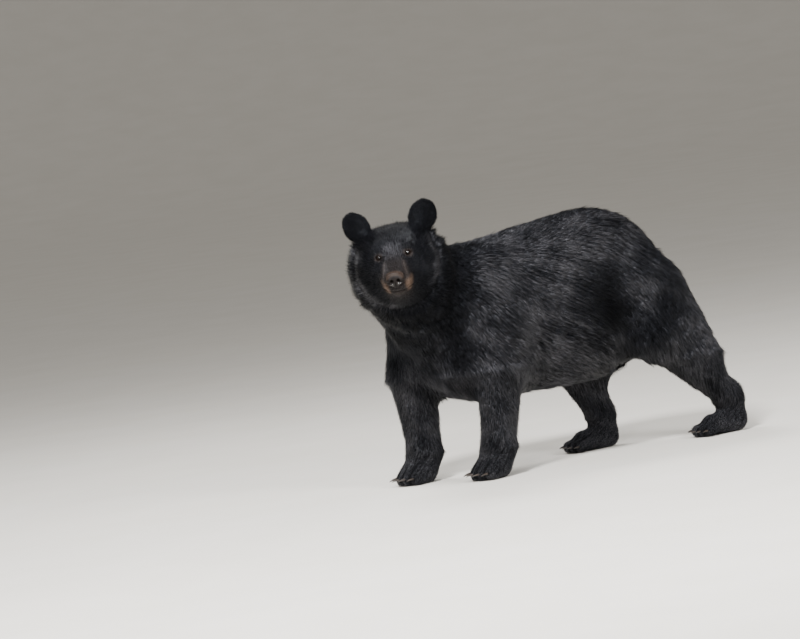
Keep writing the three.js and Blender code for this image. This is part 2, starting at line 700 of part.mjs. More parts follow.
// The mouth line: a horseshoe groove round the front and sides of the muzzle.
function lipSeam() {
  const [height, inner] = LIP_SEAM;
  const front = -MUZZLE_LENGTH + 14;
  const shape = new THREE.Shape()
    .moveTo(-90, MOUTH_CORNER_Y)
    .lineTo(-90, front - 60)
    .lineTo(90, front - 60)
    .lineTo(90, MOUTH_CORNER_Y)
    .lineTo(inner + 4, MOUTH_CORNER_Y);
  shape.lineTo(inner, front + 46);
  shape.absarc(0, front + inner, inner, 0, -Math.PI, true);
  shape.lineTo(-inner - 4, MOUTH_CORNER_Y);
  const g = new THREE.ExtrudeGeometry(shape, { depth: height, bevelEnabled: false, curveSegments: 10 });
  return solid(g.translate(0, MUZZLE_LENGTH, 0).rotateX(-MOUTH_DROP).translate(0, -MUZZLE_LENGTH, MOUTH_Z));
}

// The ruff: flat tapered locks in two rows that overlap, rooted behind the cheeks and under the
// chin and swept back over the neck, each a little different in size and lean.
const between = ([low, high], draw) => low + (high - low) * draw();

function lock(angle, ahead, draw) {
  const [length, width, thickness] = RUFF_LOCK.map((v) => v * between(LOCK_SIZES, draw));
  const out = new THREE.Vector3(...HEAD_ROOT.normal).normalize();
  const across = new THREE.Vector3(1, 0, 0);
  const up = new THREE.Vector3().crossVectors(out, across);
  const spoke = across.clone().multiplyScalar(Math.cos(angle)).addScaledVector(up, Math.sin(angle));
  const hub = new THREE.Vector3(...HEAD_ROOT.point).addScaledVector(out, ahead + between(LOCK_STAGGER, draw));
  let reach = OVERSIZE;
  while (headFlesh(...hub.clone().addScaledVector(spoke, reach).toArray()) > 0) reach -= SEARCH_STEP;
  const root = hub.addScaledVector(spoke, reach);
  const around = new THREE.Vector3().crossVectors(out, spoke);
  const sweep = out.clone().negate().addScaledVector(around, between(LOCK_LEAN, draw)).normalize();
  const rise = LOCK_RISE * between(LOCK_SIZES, draw);
  const heights = [-LOCK_SUNK, LOCK_CLEAR, (LOCK_CLEAR + rise) / 2, rise];
  const points = [];
  LOCK_SHAPE.forEach(([along, wide, thick], k) => {
    const p = root.clone().addScaledVector(sweep, along * length);
    let n;
    for (let step = 0; step < 3; step++) {
      n = new THREE.Vector3(...slope(headFlesh, p.toArray())).normalize();
      p.addScaledVector(n, -headFlesh(...p.toArray()));
    }
    p.addScaledVector(n, heights[k]);
    const side = new THREE.Vector3().crossVectors(sweep, n).normalize();
    const ring = [side, n.clone().negate(), side.clone().negate(), n];
    if (!wide) points.push(p);
    else ring.forEach((r, i) => points.push(p.clone().addScaledVector(r, (i % 2 ? thick * thickness : wide * width) / 2)));
  });
  const tip = points.length - 1;
  const faces = [0, 2, 1, 0, 3, 2];
  for (let i = 0; i < 4; i++) {
    const j = (i + 1) % 4;
    for (const a of [0, 4]) faces.push(a + i, a + j, a + 4 + j, a + i, a + 4 + j, a + 4 + i);
    faces.push(8 + i, 8 + j, tip);
  }
  const g = new THREE.BufferGeometry().setFromPoints(points);
  g.setIndex(faces);
  return solid(g);
}

function ruff() {
  let seed = LOCK_SEED;
  const draw = () => (seed = (seed * SEED_FACTOR + SEED_STEP) >>> 0) / 2 ** 32;
  const [from, to] = RUFF_ARC.map(THREE.MathUtils.degToRad);
  return RUFF_ROWS.flatMap(([ahead, count]) =>
    Array.from({ length: count }, (_, i) =>
      lock(from + ((i + between(LOCK_PLACE, draw)) / count) * (to - from), ahead, draw),
    ),
  );
}

function head() {
  let made = skin(headFlesh, [-210, -175, -290], [210, 240, 150], CELL.head, FACE_FOCUS, FACE_REACH)
    .intersect(half(HEAD_ROOT.point, HEAD_ROOT.normal));
  for (const each of ruff()) made = made.add(each);
  for (const side of Object.values(SIDES)) {
    const { facing, centre } = eyeSet(side);
    const slit = ball(EYE_OPENING, [0, -EYEBALL_RADIUS, 0], 12, 8)
      .applyQuaternion(new THREE.Quaternion().setFromUnitVectors(new THREE.Vector3(0, -1, 0), facing))
      .translate(...centre.toArray());
    made = made
      .add(eyeSphere(side, LID_THICKNESS))
      .subtract(solid(slit))
      .subtract(eyeSphere(side, GAP))
      .subtract(ear(side, GAP));
  }
  const philtrum = solid(
    new THREE.BoxGeometry(2, 24, 24).translate(0, -MUZZLE_LENGTH + 2, MOUTH_Z + 12),
  );
  return made.subtract(lipSeam()).subtract(philtrum).subtract(nose(SOCKET_GAP));
}

headGroup.add(mesh("head", head(), BLACK_FUR()), mesh("nose", nose(), NOSE_SKIN()));
for (const [name, side] of Object.entries(SIDES)) {
  headGroup.add(mesh(`ear_${name}`, ear(side), BLACK_FUR()));
  headGroup.add(mesh(`eye_${name}`, eyeSphere(side), EYE_BROWN()));
}

const body = new THREE.Group();
body.add(torso(), neck(), tail(), headGroup);
for (const name of Object.keys(SIDES)) body.add(...forelegParts(name), ...hindLegParts(name));

// The origin lies on the floor under the middle of the whole figure.
const reach = new THREE.Box3().setFromObject(body, true);
const middle = reach.getCenter(new THREE.Vector3());
body.position.set(-middle.x, -middle.y, -reach.min.z);
const bear = new THREE.Group();
bear.add(body);

export default bear;
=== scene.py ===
import math
import bmesh
import bpy
import numpy as np
from mathutils import Matrix, Vector
from mathutils.bvhtree import BVHTree


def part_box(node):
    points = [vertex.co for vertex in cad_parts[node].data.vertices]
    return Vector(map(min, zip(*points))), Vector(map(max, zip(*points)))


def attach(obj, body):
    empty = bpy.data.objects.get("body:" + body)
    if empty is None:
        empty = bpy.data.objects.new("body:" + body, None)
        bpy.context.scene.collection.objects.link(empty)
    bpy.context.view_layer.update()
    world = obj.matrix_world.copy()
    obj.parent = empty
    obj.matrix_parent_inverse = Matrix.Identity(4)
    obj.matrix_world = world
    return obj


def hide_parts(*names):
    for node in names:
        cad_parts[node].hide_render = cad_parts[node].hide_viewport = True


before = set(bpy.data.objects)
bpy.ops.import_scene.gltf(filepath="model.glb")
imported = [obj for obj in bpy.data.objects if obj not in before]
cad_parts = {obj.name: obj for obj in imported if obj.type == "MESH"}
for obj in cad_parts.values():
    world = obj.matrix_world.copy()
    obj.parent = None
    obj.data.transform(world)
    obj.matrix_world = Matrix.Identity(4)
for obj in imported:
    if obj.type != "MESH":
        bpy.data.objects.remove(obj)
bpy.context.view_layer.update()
bpy.ops.object.select_all(action="DESELECT")

# ---- The view --------------------------------------------------------------------------------
# A long lens at standing height, three-quarters on to the bear's left front, rolled a little
# so that the ground runs up to the right.
VIEW_TURN, VIEW_DOWN, VIEW_ROLL = math.radians(60), math.radians(4), math.radians(8)
DISTANCE = 18.0
LENS, FILM_WIDTH, SEES_TO = 216, 36, 500  # millimetres, millimetres, metres
BODY_AT = Vector((-0.0461, 0.0238, 0.5))  # what the camera stands off from
AIM = Vector((-0.3073, -0.4132, 0.6095))  # what it is turned to
level = math.cos(VIEW_DOWN)
back = Vector((math.sin(VIEW_TURN) * level, -math.cos(VIEW_TURN) * level, math.sin(VIEW_DOWN)))
right = Vector((math.cos(VIEW_TURN), math.sin(VIEW_TURN), 0))
up = back.cross(right)
stand = BODY_AT + DISTANCE * back
back = (stand - AIM).normalized()
view_right = math.cos(VIEW_ROLL) * right - math.sin(VIEW_ROLL) * up
view_right = (view_right - back * view_right.dot(back)).normalized()
turned = Matrix((view_right, back.cross(view_right), back)).transposed().to_4x4()
bpy.ops.object.camera_add()
camera = bpy.context.object
camera.name = "view_camera"
camera.matrix_world = Matrix.Translation(stand) @ turned
camera.data.lens = LENS
camera.data.sensor_width = FILM_WIDTH
camera.data.dof.use_dof = False
camera.data.clip_end = SEES_TO
bpy.context.scene.camera = camera

# ---- The hide --------------------------------------------------------------------------------
# One tanned skin over the whole mannikin, from the muzzle to the soles. It lies under the tips
# of the coat by the coat's depth, deep on the trunk and next to nothing on the nose.
LIMBS = ("foreleg", "forepaw", "thigh", "shank", "hindpaw")
FLESH = ["torso", "neck", "head", "ear_left", "ear_right", "tail"]
FLESH += [part + side for part in LIMBS for side in ("_left", "_right")]
EAR_SWELL, FLESH_SWELL = 0.0052, 0.0014  # metres the pieces swell by, to overlap where they meet
MERGE = 0.00005  # metres: corners nearer to each other than this are one
HIDE_GRAIN = 0.0072  # metres: the squares of the skin
HEAD_TURN, HEAD_NOD, HEAD_TILT = math.radians(56), math.radians(20), math.radians(3.5)
EYE_IN_HEAD = Vector((0, -0.02155, -0.0016))  # the middle of the two eyeballs, in the head's frame
FACE_MIDDLE = np.array([0, -40, -30])  # in millimetres in the head's frame
head_turn = Matrix.Rotation(HEAD_TURN, 3, "Z") @ Matrix.Rotation(HEAD_NOD, 3, "X")
head_turn = head_turn @ Matrix.Rotation(-HEAD_TILT, 3, "Y")


def middle(node):
    low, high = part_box(node)
    return (low + high) / 2


head_at = (middle("eye_left") + middle("eye_right")) / 2 - head_turn @ EYE_IN_HEAD
HEAD_AXES = np.array(head_turn)
HEAD_AT = np.array(head_at)


def in_head(points):
    """Points in the head's frame, in millimetres: x to its left, y back and z up."""
    return (points - HEAD_AT) @ HEAD_AXES * 1000


def from_head(points):
    """The way back: points in the head's frame as places in the room, in metres."""
    return points / 1000 @ HEAD_AXES.T + HEAD_AT


def points_of(obj):
    places = np.empty(len(obj.data.vertices) * 3)
    obj.data.vertices.foreach_get("co", places)
    return places.reshape(-1, 3)


def put_points(obj, places):
    obj.data.vertices.foreach_set("co", np.ascontiguousarray(places, dtype=np.float32).ravel())
    obj.data.update()


def normals_of(obj):
    n = np.empty(len(obj.data.vertices) * 3)
    obj.data.vertices.foreach_get("normal", n)
    return n.reshape(-1, 3)


def ramp(value, low, high):
    """0 below low, 1 above high, smooth between."""
    t = np.clip((value - low) / (high - low), 0, 1)
    return t * t * (3 - 2 * t)


def near(points, centre, radius):
    """1 at the centre, fading to 0 at the radius, which may be one for each axis."""
    return ramp(1 - np.linalg.norm((points - np.array(centre)) / np.array(radius), axis=1), 0, 1)


def only(obj):
    bpy.ops.object.select_all(action="DESELECT")
    obj.select_set(True)
    bpy.context.view_layer.objects.active = obj


def apply_all(obj):
    only(obj)
    for modifier in list(obj.modifiers):
        bpy.ops.object.modifier_apply(modifier=modifier.name)


def rounded_off(obj, name, levels):
    """Works a mesh over into a rounder and finer one."""
    rounder = obj.modifiers.new(name, "SUBSURF")
    rounder.levels = rounder.render_levels = levels
    apply_all(obj)


def one_skin(obj, name, grain, soft, rounds):
    """Melts a closed mesh into one even skin of small squares, and softens it."""
    remesh = obj.modifiers.new(name, "REMESH")
    remesh.mode = "VOXEL"
    remesh.voxel_size = grain
    smooth = obj.modifiers.new("softened", "SMOOTH")
    smooth.factor = soft
    smooth.iterations = rounds
    apply_all(obj)


def close_up(obj):
    """Merges a mesh's loose faces into one surface that faces outwards."""
    only(obj)
    bpy.ops.object.mode_set(mode="EDIT")
    bpy.ops.mesh.select_all(action="SELECT")
    bpy.ops.mesh.remove_doubles(threshold=MERGE)
    bpy.ops.mesh.normals_make_consistent(inside=False)
    bpy.ops.object.mode_set(mode="OBJECT")


def copy_of(node, name):
    """A closed copy of one of the solids, to work on."""
    copy = bpy.data.objects.new(name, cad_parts[node].data.copy())
    bpy.context.scene.collection.objects.link(copy)
    copy.data.materials.clear()
    close_up(copy)
    return copy


copies = []
for name in FLESH:
    copy = copy_of(name, "flesh")
    is_ear = name.startswith("ear")
    if is_ear:
        rounded_off(copy, "round rim", 2)
    put_points(copy, points_of(copy) + normals_of(copy) * (EAR_SWELL if is_ear else FLESH_SWELL))
    copies.append(copy)
only(copies[0])
for copy in copies:
    copy.select_set(True)
bpy.ops.object.join()
hide = bpy.context.object
hide.name = "hide"
one_skin(hide, "one skin", HIDE_GRAIN, 0.5, 6)

# How deep the coat is over each part, in millimetres: the skin is let down by as much.
DEPTH = {
    "torso": 18,
    "neck": 19,
    "head": 11,
    "ear": 1.2,
    "tail": 10,
    "foreleg": 10,
    "forepaw": 4,
    "thigh": 15,
    "shank": 8.5,
    "hindpaw": 4,
}
FACE_DEPTH, MUZZLE_LESS, RUFF_MORE = 4.5, 2.7, 8  # on the head it differs from place to place
parts = sorted(DEPTH)
corners, triangles, owners = [], [], []
for name in FLESH:
    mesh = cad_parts[name].data
    start = len(corners)
    corners += [tuple(v.co) for v in mesh.vertices]
    triangles += [tuple(start + i for i in p.vertices) for p in mesh.polygons]
    owners += [parts.index(name.split("_")[0])] * len(mesh.polygons)
surface = BVHTree.FromPolygons(corners, triangles)


def neighbours_of(obj):
    """For each corner of the mesh, the corners it shares an edge with, as one long list."""
    ends = np.empty(len(obj.data.edges) * 2, np.int64)
    obj.data.edges.foreach_get("vertices", ends)
    ends = ends.reshape(-1, 2)
    near_to = np.concatenate([ends, ends[:, ::-1]])
    near_to = near_to[np.argsort(near_to[:, 0], kind="stable")]
    starts = np.searchsorted(near_to[:, 0], np.arange(len(obj.data.vertices)))
    return near_to[:, 1], starts


def even_out(values, beside, rounds):
    """Draws each corner's value towards its neighbours', round after round."""
    others, starts = beside
    count = np.diff(np.append(starts, len(others)))
    shape = (-1,) + (1,) * (values.ndim - 1)
    for _ in range(rounds):
        total = np.add.reduceat(values[others], starts, axis=0)
        values = 0.4 * values + 0.6 * total / count.reshape(shape)
    return values


def shares_of(obj, rounds):
    """How much each corner belongs to each part: the nearest one, evened out where two meet."""
    places = points_of(obj)
    share = np.zeros((len(places), len(parts)))
    nearest = [owners[surface.find_nearest(Vector(p))[2]] for p in places]
    share[np.arange(len(places)), nearest] = 1
    return even_out(share, neighbours_of(obj), rounds)


share = shares_of(hide, 14)
is_part = dict(zip(parts, share.T))


def muzzle_of(local):
    """1 on the muzzle, 0 from the eyes back."""
    return 1 - ramp(local[:, 1], -78, -16)


def ruff_of(local):
    """1 in the ring of longer fur behind the cheeks and under the chin, 0 on the face."""
    return ramp(np.linalg.norm(local - FACE_MIDDLE, axis=1), 152, 186)


# The locks of the ruff come off again: the skin runs smooth under them.
places = points_of(hide)
local = in_head(places)
under_locks = ramp(local[:, 1], 5, 35) * (1 - ramp(local[:, 1], 150, 190))
under_locks *= 1 - ramp(local[:, 2], 60, 100)
under_locks = even_out(under_locks * (is_part["head"] + is_part["neck"]), neighbours_of(hide), 6)[:, None]
put_points(hide, places + under_locks * (even_out(places, neighbours_of(hide), 45) - places))
# The ears' thin rims are evened out into round ones.
places = points_of(hide)
put_points(hide, places + is_part["ear"][:, None] * (even_out(places, neighbours_of(hide), 7) - places))
# The hide is let down under the coat in four steps, so that it doesn't fold over itself.
depth = share @ np.array([DEPTH[p] for p in parts])
face_depth = FACE_DEPTH - MUZZLE_LESS * muzzle_of(local) + RUFF_MORE * ruff_of(local)
depth += is_part["head"] * (face_depth - DEPTH["head"])
STEPS_DOWN = 4
for _ in range(STEPS_DOWN):
    step = depth / (1000 * STEPS_DOWN)
    put_points(hide, points_of(hide) - normals_of(hide) * step[:, None])
put_points(hide, even_out(points_of(hide), neighbours_of(hide), 2))

# The hide dips between neighbouring toes, which are found from their claws.
TOE_DIP, TOE_DIP_WIDTH = 0.006, 0.0055  # metres
TOE_GAPS = []
for paw in ("fore_left", "fore_right", "hind_left", "hind_right"):
    claws = [middle(f"claw_{paw}_{i}") for i in range(1, 6)]
    TOE_GAPS += [(a + b) / 2 for a, b in zip(claws, claws[1:])]


def between_toes(points):
    """1 in the dips between neighbouring toes, 0 on the toes and everywhere else."""
    dip = np.zeros(len(points))
    for gap in TOE_GAPS:
        back = points[:, 1] - gap.y
        along = ramp(back, -0.01, 0.015) * (1 - ramp(back, 0.055, 0.095))
        dip = np.maximum(dip, along * np.exp(-(((points[:, 0] - gap.x) / TOE_DIP_WIDTH) ** 2)))
    return dip * (1 - ramp(points[:, 2], 0.06, 0.09))


places = points_of(hide)
put_points(hide, places - normals_of(hide) * (TOE_DIP * between_toes(places))[:, None])

only(hide)
bpy.ops.object.mode_set(mode="EDIT")
bpy.ops.mesh.select_all(action="SELECT")
bpy.ops.uv.smart_project(angle_limit=math.radians(75), island_margin=0.002)
bpy.ops.object.mode_set(mode="OBJECT")
hide.data.uv_layers.active.name = "OFBake"

# The face is worked finer than the body, and round the eyes finer again: middles and radii, in
# millimetres in the head's frame.
FINER = (
    ((0, -70, -45), (105, 105, 95)),
    ((52, -30, -2), (32, 40, 28)),
    ((-52, -30, -2), (32, 40, 28)),
)
for centre, radius in FINER:
    local = in_head(points_of(hide))
    inside = (near(local, centre, radius) > 0) & (local[:, 1] < 60)
    work = bmesh.new()
    work.from_mesh(hide.data)
    work.edges.ensure_lookup_table()
    edges = [e for e in work.edges if inside[e.verts[0].index] and inside[e.verts[1].index]]
    bmesh.ops.subdivide_edges(work, edges=edges, cuts=1, use_grid_fill=True, smooth=0.0)
    work.to_mesh(hide.data)
    work.free()
# What was worked finer is evened out, to a little past its edge.
places = points_of(hide)
fine = near(in_head(places), (0, -70, -45), (118, 118, 108))[:, None] > 0
put_points(hide, np.where(fine, even_out(places, neighbours_of(hide), 5), places))

# ---- The eyes --------------------------------------------------------------------------------
# Blown glass eyes: a dark pupil and a brown iris under a clear wet front, set deep in the skull.
EYE_RADIUS = 12.5
BROW_TURN = {"left": 1, "right": -1}
eye_centre = {side: in_head(np.array([middle("eye_" + side)]))[0] for side in BROW_TURN}
SOCKET_WAY = np.array([0.28, -0.93, 0.20])  # the way the left eye's socket opens
SOCKET_WAY /= np.linalg.norm(SOCKET_WAY)
gaze = {side: SOCKET_WAY * np.array([sign, 1, 1]) for side, sign in BROW_TURN.items()}
LOOKS_AT = in_head(np.array([stand]))[0]
LOOKS_AT /= np.linalg.norm(LOOKS_AT)


def linear(colour):
    """A shade written as an sRGB hex value, as the linear light that a shader wants."""
    parts_of_it = [int(colour[i : i + 2], 16) / 255 for i in (1, 3, 5)]
    return tuple(c / 12.92 if c <= 0.04045 else ((c + 0.055) / 1.055) ** 2.4 for c in parts_of_it) + (1,)


def add(material, kind, inputs={}, **settings):
    """Adds a node: settings are its own, inputs are numbers, colours or another node's output."""
    made = material.node_tree.nodes.new("ShaderNode" + kind)
    for name, value in settings.items():
        setattr(made, name, value)
    for name, value in inputs.items():
        if isinstance(value, bpy.types.NodeSocket):
            material.node_tree.links.new(value, made.inputs[name])
        else:
            made.inputs[name].default_value = value
    return made


def new_material(name):
    material = bpy.data.materials.new(name)
    material.use_nodes = True
    return material, material.node_tree.nodes["Principled BSDF"]


def shades(ramp_node, *stops):
    """Sets a colour ramp to (place, hex) stops."""
    elements = ramp_node.color_ramp.elements
    while len(elements) < len(stops):
        elements.new(0.5)
    for element, (place, colour) in zip(elements, stops):
        element.position, element.color = place, linear(colour)


def link(material, output, shader_input):
    material.node_tree.links.new(output, shader_input)


def numbers(obj, name, values):
    """Keeps one number for each corner of the mesh, for its material to read."""
    made = obj.data.attributes.new(name, "FLOAT", "POINT")
    made.data.foreach_set("value", np.ascontiguousarray(values, dtype=np.float32))


# Glass: colour lies under a smooth clear front, so the eye is dark with one sharp gleam.
glass, shader = new_material("eye_glass")
out_from_pupil = add(glass, "Attribute", attribute_name="out_from_pupil")
rings = add(glass, "ValToRGB", {"Fac": out_from_pupil.outputs["Fac"]})
PUPIL = ((0.0, "#020101"), (0.32, "#030202"))
IRIS = ((0.36, "#0e0805"), (0.52, "#180d07"), (0.60, "#0a0605"), (0.8, "#070404"))
shades(rings, *PUPIL, *IRIS)
link(glass, rings.outputs["Color"], shader.inputs["Base Color"])
shader.inputs["Roughness"].default_value = 0.17
shader.inputs["Specular IOR Level"].default_value = 0.5  # where the film isn't read
film = add(glass, "Attribute", attribute_name="film")
link(glass, film.outputs["Fac"], shader.inputs["Specular IOR Level"])

for side in BROW_TURN:
    bpy.ops.mesh.primitive_uv_sphere_add(segments=40, ring_count=28, radius=1)
    eye = bpy.context.object
    eye.name = "eyeball_" + side
    on_ball = points_of(eye)
    turn = on_ball @ LOOKS_AT
    numbers(eye, "out_from_pupil", np.arccos(np.clip(turn, -1, 1)) / (math.pi / 2))
    numbers(eye, "film", 0.06 + 0.60 * ramp(on_ball[:, 2] - LOOKS_AT[2], -0.10, 0.02))
    bulge = 1 + 0.07 * ramp(turn, 0.80, 0.97)
    ball = eye_centre[side] + on_ball * (EYE_RADIUS * bulge)[:, None]
    put_points(eye, from_head(ball))
    eye.data.materials.append(glass)
    bpy.ops.object.shade_smooth()
    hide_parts("eye_" + side)
    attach(eye, "root")

# ---- The lids --------------------------------------------------------------------------------
# Bare dark skin folded over each eye, thicker above than below, with the fold drawn out to the
# tear duct at the inner corner.
LID_OPENING = (12.0, 7.6, 5.6)  # millimetres: half width, height above and below the middle
TEAR_DUCT = 2.6  # how far the opening is drawn out at its inner corner
OPENING_AT = 11.5  # how far before the eyeball's middle the opening is measured
# Rows of the fold from its inside edge out: millimetres from the eyeball's middle, and degrees
# beyond the rim of the opening.
LID_ROWS = ((11.6, 6), (12.9, 0), (14.1, -0.5), (15.0, 6))
LID_ROWS += ((15.4, 16), (15.0, 30), (13.6, 46), (11.0, 60))
AROUND = 48

# Bare skin: nearly black, matt and finely pored.
skin_material, shader = new_material("bare_lid_skin")
place = add(skin_material, "TexCoord")
pores = add(skin_material, "TexNoise", {"Vector": place.outputs["Object"], "Scale": 900, "Detail": 3})
tone = add(skin_material, "ValToRGB", {"Fac": pores.outputs["Fac"]})
shades(tone, (0.3, "#0a0706"), (0.7, "#150f0c"))
link(skin_material, tone.outputs["Color"], shader.inputs["Base Color"])
raised = add(skin_material, "Bump", {"Height": pores.outputs["Fac"], "Strength": 0.35, "Distance": 0.0006})
link(skin_material, raised.outputs["Normal"], shader.inputs["Normal"])
shader.inputs["Roughness"].default_value = 0.6
shader.inputs["Specular IOR Level"].default_value = 0.05


def eye_axes(side):
    """The way the eye looks, the way to its outer corner and the way up across it."""
    facing, sign = gaze[side], BROW_TURN[side]
    across = np.cross(facing, [0, 0, 1.0])
    across *= sign * np.sign(across[0]) / np.linalg.norm(across)
    across = across + np.array([0, 0, 0.18])
    across /= np.linalg.norm(across)
    above = np.cross(across, facing)
    return facing, across, above * np.sign(above[2])


def lid_edge(a):
    """The rim of the opening at the angle a round it, in millimetres out and up from its middle."""
    x = LID_OPENING[0] * np.cos(a) - TEAR_DUCT * np.maximum(0, -np.cos(a)) ** 3
    tall = np.where(np.sin(a) > 0, LID_OPENING[1], LID_OPENING[2])
    return x, tall * np.sin(a) * (1 - 0.25 * np.cos(a) ** 2)


def past_lids(points, side):
    """For places round an eye: the way to them from the eyeball's middle, how far off they are,
    and how many degrees they are from the gaze and beyond the rim of the opening."""
    facing, across, above = eye_axes(side)
    away = points - eye_centre[side]
    d = np.linalg.norm(away, axis=1)
    turn = np.degrees(np.arccos(np.clip(away @ facing / d, -1, 1)))
    x, y = away @ across / LID_OPENING[0], away @ above
    y = y / np.where(y > 0, LID_OPENING[1], LID_OPENING[2])
    rim_x, rim_y = lid_edge(np.arctan2(y, x))
    rim_turn = np.degrees(np.arctan2(np.hypot(rim_x, rim_y), OPENING_AT))
    return away / d[:, None], d, turn, turn - rim_turn


for side in BROW_TURN:
    facing, across, above = eye_axes(side)
    rows = []
    for radius, out in LID_ROWS:
        for i in range(AROUND):
            a = 2 * math.pi * i / AROUND
            x, y = lid_edge(a)
            reach = math.atan2(math.hypot(x, y), OPENING_AT) + math.radians(out)
            flat = (across * x + above * y) / math.hypot(x, y)
            heavy = radius + (0.6 * max(0, math.sin(a)) if 13 < radius < 15.5 else 0)
            rows.append(eye_centre[side] + heavy * (facing * math.cos(reach) + flat * math.sin(reach)))
    faces = []
    for row in range(0, (len(LID_ROWS) - 1) * AROUND, AROUND):
        for i in range(AROUND):
            beside = (i + 1) % AROUND
            faces.append((row + i, row + beside, row + AROUND + beside, row + AROUND + i))
    mesh = bpy.data.meshes.new("lids_" + side)
    mesh.from_pydata(from_head(np.array(rows)).tolist(), [], faces)
    lids = bpy.data.objects.new("lids_" + side, mesh)
    bpy.context.scene.collection.objects.link(lids)
    close_up(lids)
    lids.data.materials.append(skin_material)
    rounded_off(lids, "fold", 1)
    bpy.ops.object.shade_smooth()
    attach(lids, "root")

# ---- The face --------------------------------------------------------------------------------
# The hide is worked over the skull by hand: drawn up to the lids round each eye and sunk behind
# their opening, and sewn together below the nose pad, where the upper lip hangs over the mouth.
LIDS_FOOT = 14.9  # how far from the eyeball's middle the hide meets the lids, in millimetres
SUNK_TO = 9.5  # and how far from it the hide lies behind their opening
places = in_head(points_of(hide))
for side in BROW_TURN:
    away, d, turn, past = past_lids(places, side)
    front = turn < 100
    lift = front * ramp(past, 4, 16) * (1 - ramp(d, 17, 34))
    wanted = LIDS_FOOT + 0.4 * ramp(past, 20, 50)
    grow = np.maximum(wanted - d, 0) * lift
    sink = front * (1 - ramp(past, 4, 14)) * np.maximum(d - SUNK_TO, 0) * (d < 26)
    places += away * (grow - sink)[:, None]

# The line of the mouth, in millimetres in the head's frame, falls a little towards the back.
MOUTH_AT, MOUTH_FRONT, MOUTH_BACK = -101.0, -138, -66.0
MOUTH_FALL = 0.075


def from_mouth(local):
    """How high places in the head's frame are above the line of the mouth, in millimetres."""
    return local[:, 2] - (MOUTH_AT - MOUTH_FALL * (local[:, 1] - MOUTH_FRONT))


off = from_mouth(places)
along = ramp(places[:, 1], MOUTH_BACK + 6, MOUTH_BACK - 10)
along *= (np.abs(places[:, 0]) < 80) * (places[:, 2] < -60)
outward = places - np.array([0, -60, -90.0])
outward[:, 1] *= 0.8
outward[:, 2] = 0
outward /= np.linalg.norm(outward, axis=1)[:, None]
crease = np.exp(-((off / 2.0) ** 2)) * 5.0
overhang = np.exp(-(((off - 8) / 6.5) ** 2)) * 2.6
under = np.exp(-(((off + 7) / 6.0) ** 2)) * 1.2
places += outward * (along * (overhang + under - crease))[:, None]
put_points(hide, from_head(places))

# ---- The nose pad ----------------------------------------------------------------------------
# Cast from life in soft resin: pebbled bare skin, two comma-shaped nostrils and the groove
# between them that runs down to the lip, varnished so that it looks wet.
NOSE_MIDDLE = np.array([0, -137.8, -52.1])
PAD_GRAIN = 0.0021
PAD_FULLER = np.array([1.03, 1.06, 1.07])  # how much fuller than the solid: across, back and up
PAD_UP = np.array([0, 0, 1.5])
pad = copy_of("nose", "nose_pad")
one_skin(pad, "full", PAD_GRAIN, 0.5, 14)
rounded_off(pad, "finer", 1)
places = in_head(points_of(pad))
places = NOSE_MIDDLE + (places - NOSE_MIDDLE) * PAD_FULLER + PAD_UP
x, z = places[:, 0], places[:, 2] - NOSE_MIDDLE[2]
front = ramp(-places[:, 1], 132, 146)
# Each side, in millimetres from the middle: the nostril's hole, the slit that curls out from it,
# the wing that swells over it and the wet ledge below it.
for sign in (1, -1):
    hole = np.exp(-((((x - sign * 12.5) / 5.8) ** 2 + ((z - 4) / 6.0) ** 2) ** 1.4))
    slit_height = -3.5 + 0.035 * (sign * x - 19) ** 2
    slit = np.exp(-(((z - slit_height) / 2.3) ** 2)) * ramp(sign * x, 12, 17)
    slit *= 1 - ramp(sign * x, 26, 32)
    wing = np.exp(-((((x - sign * 19) / 8.0) ** 2 + ((z - 8) / 7.0) ** 2)))
    places[:, 1] += front * (11 * hole + 5 * slit - 2.4 * wing)
    ledge = np.exp(-((((x - sign * 14) / 6.5) ** 2 + ((z + 8.5) / 3.8) ** 2)))
    places[:, 1] -= front * 3.2 * ledge
groove = np.exp(-((x / 1.7) ** 2)) * (1 - ramp(z, -2, 6))
places[:, 1] += front * 3.0 * groove
put_points(pad, from_head(places))
numbers(pad, "rim", ramp(np.hypot(x / 34, (z + 3) / 29), 0.84, 1.0) * ramp(z, 2, 14))
numbers(pad, "wet", front * np.exp(-((((np.abs(x) - 14) / 6) ** 2 + ((z + 8) / 6) ** 2))))

# Nose leather: pebbled and half matt, brown along its upper rim, with a thick wet varnish on the
# ledges under the nostrils.
pad_skin, shader = new_material("varnished_nose_leather")
place = add(pad_skin, "TexCoord")
pebbles = add(pad_skin, "TexVoronoi", {"Vector": place.outputs["Object"], "Scale": 620}, feature="F1")
blotch = add(pad_skin, "TexNoise", {"Vector": place.outputs["Object"], "Scale": 70, "Detail": 4})
tone = add(pad_skin, "ValToRGB", {"Fac": blotch.outputs["Fac"]})
shades(tone, (0.35, "#0b0808"), (0.6, "#15100f"), (0.75, "#211814"))
rim = add(pad_skin, "Attribute", attribute_name="rim")
edged = add(pad_skin, "Mix", {"Factor": rim.outputs["Fac"]}, data_type="RGBA")
link(pad_skin, tone.outputs["Color"], edged.inputs["A"])
edged.inputs["B"].default_value = linear("#29201b")
link(pad_skin, edged.outputs["Result"], shader.inputs["Base Color"])
raised = add(pad_skin, "Bump", {"Height": pebbles.outputs["Distance"], "Strength": 0.5, "Distance": 0.0006})
link(pad_skin, raised.outputs["Normal"], shader.inputs["Normal"])
wet = add(pad_skin, "Attribute", attribute_name="wet")
link(pad_skin, wet.outputs["Fac"], shader.inputs["Coat Weight"])
shader.inputs["Coat IOR"].default_value = 1.7
shader.inputs["Coat Roughness"].default_value = 0.08
shader.inputs["Roughness"].default_value = 0.55
shader.inputs["Specular IOR Level"].default_value = 0.14
pad.data.materials.append(pad_skin)
only(pad)
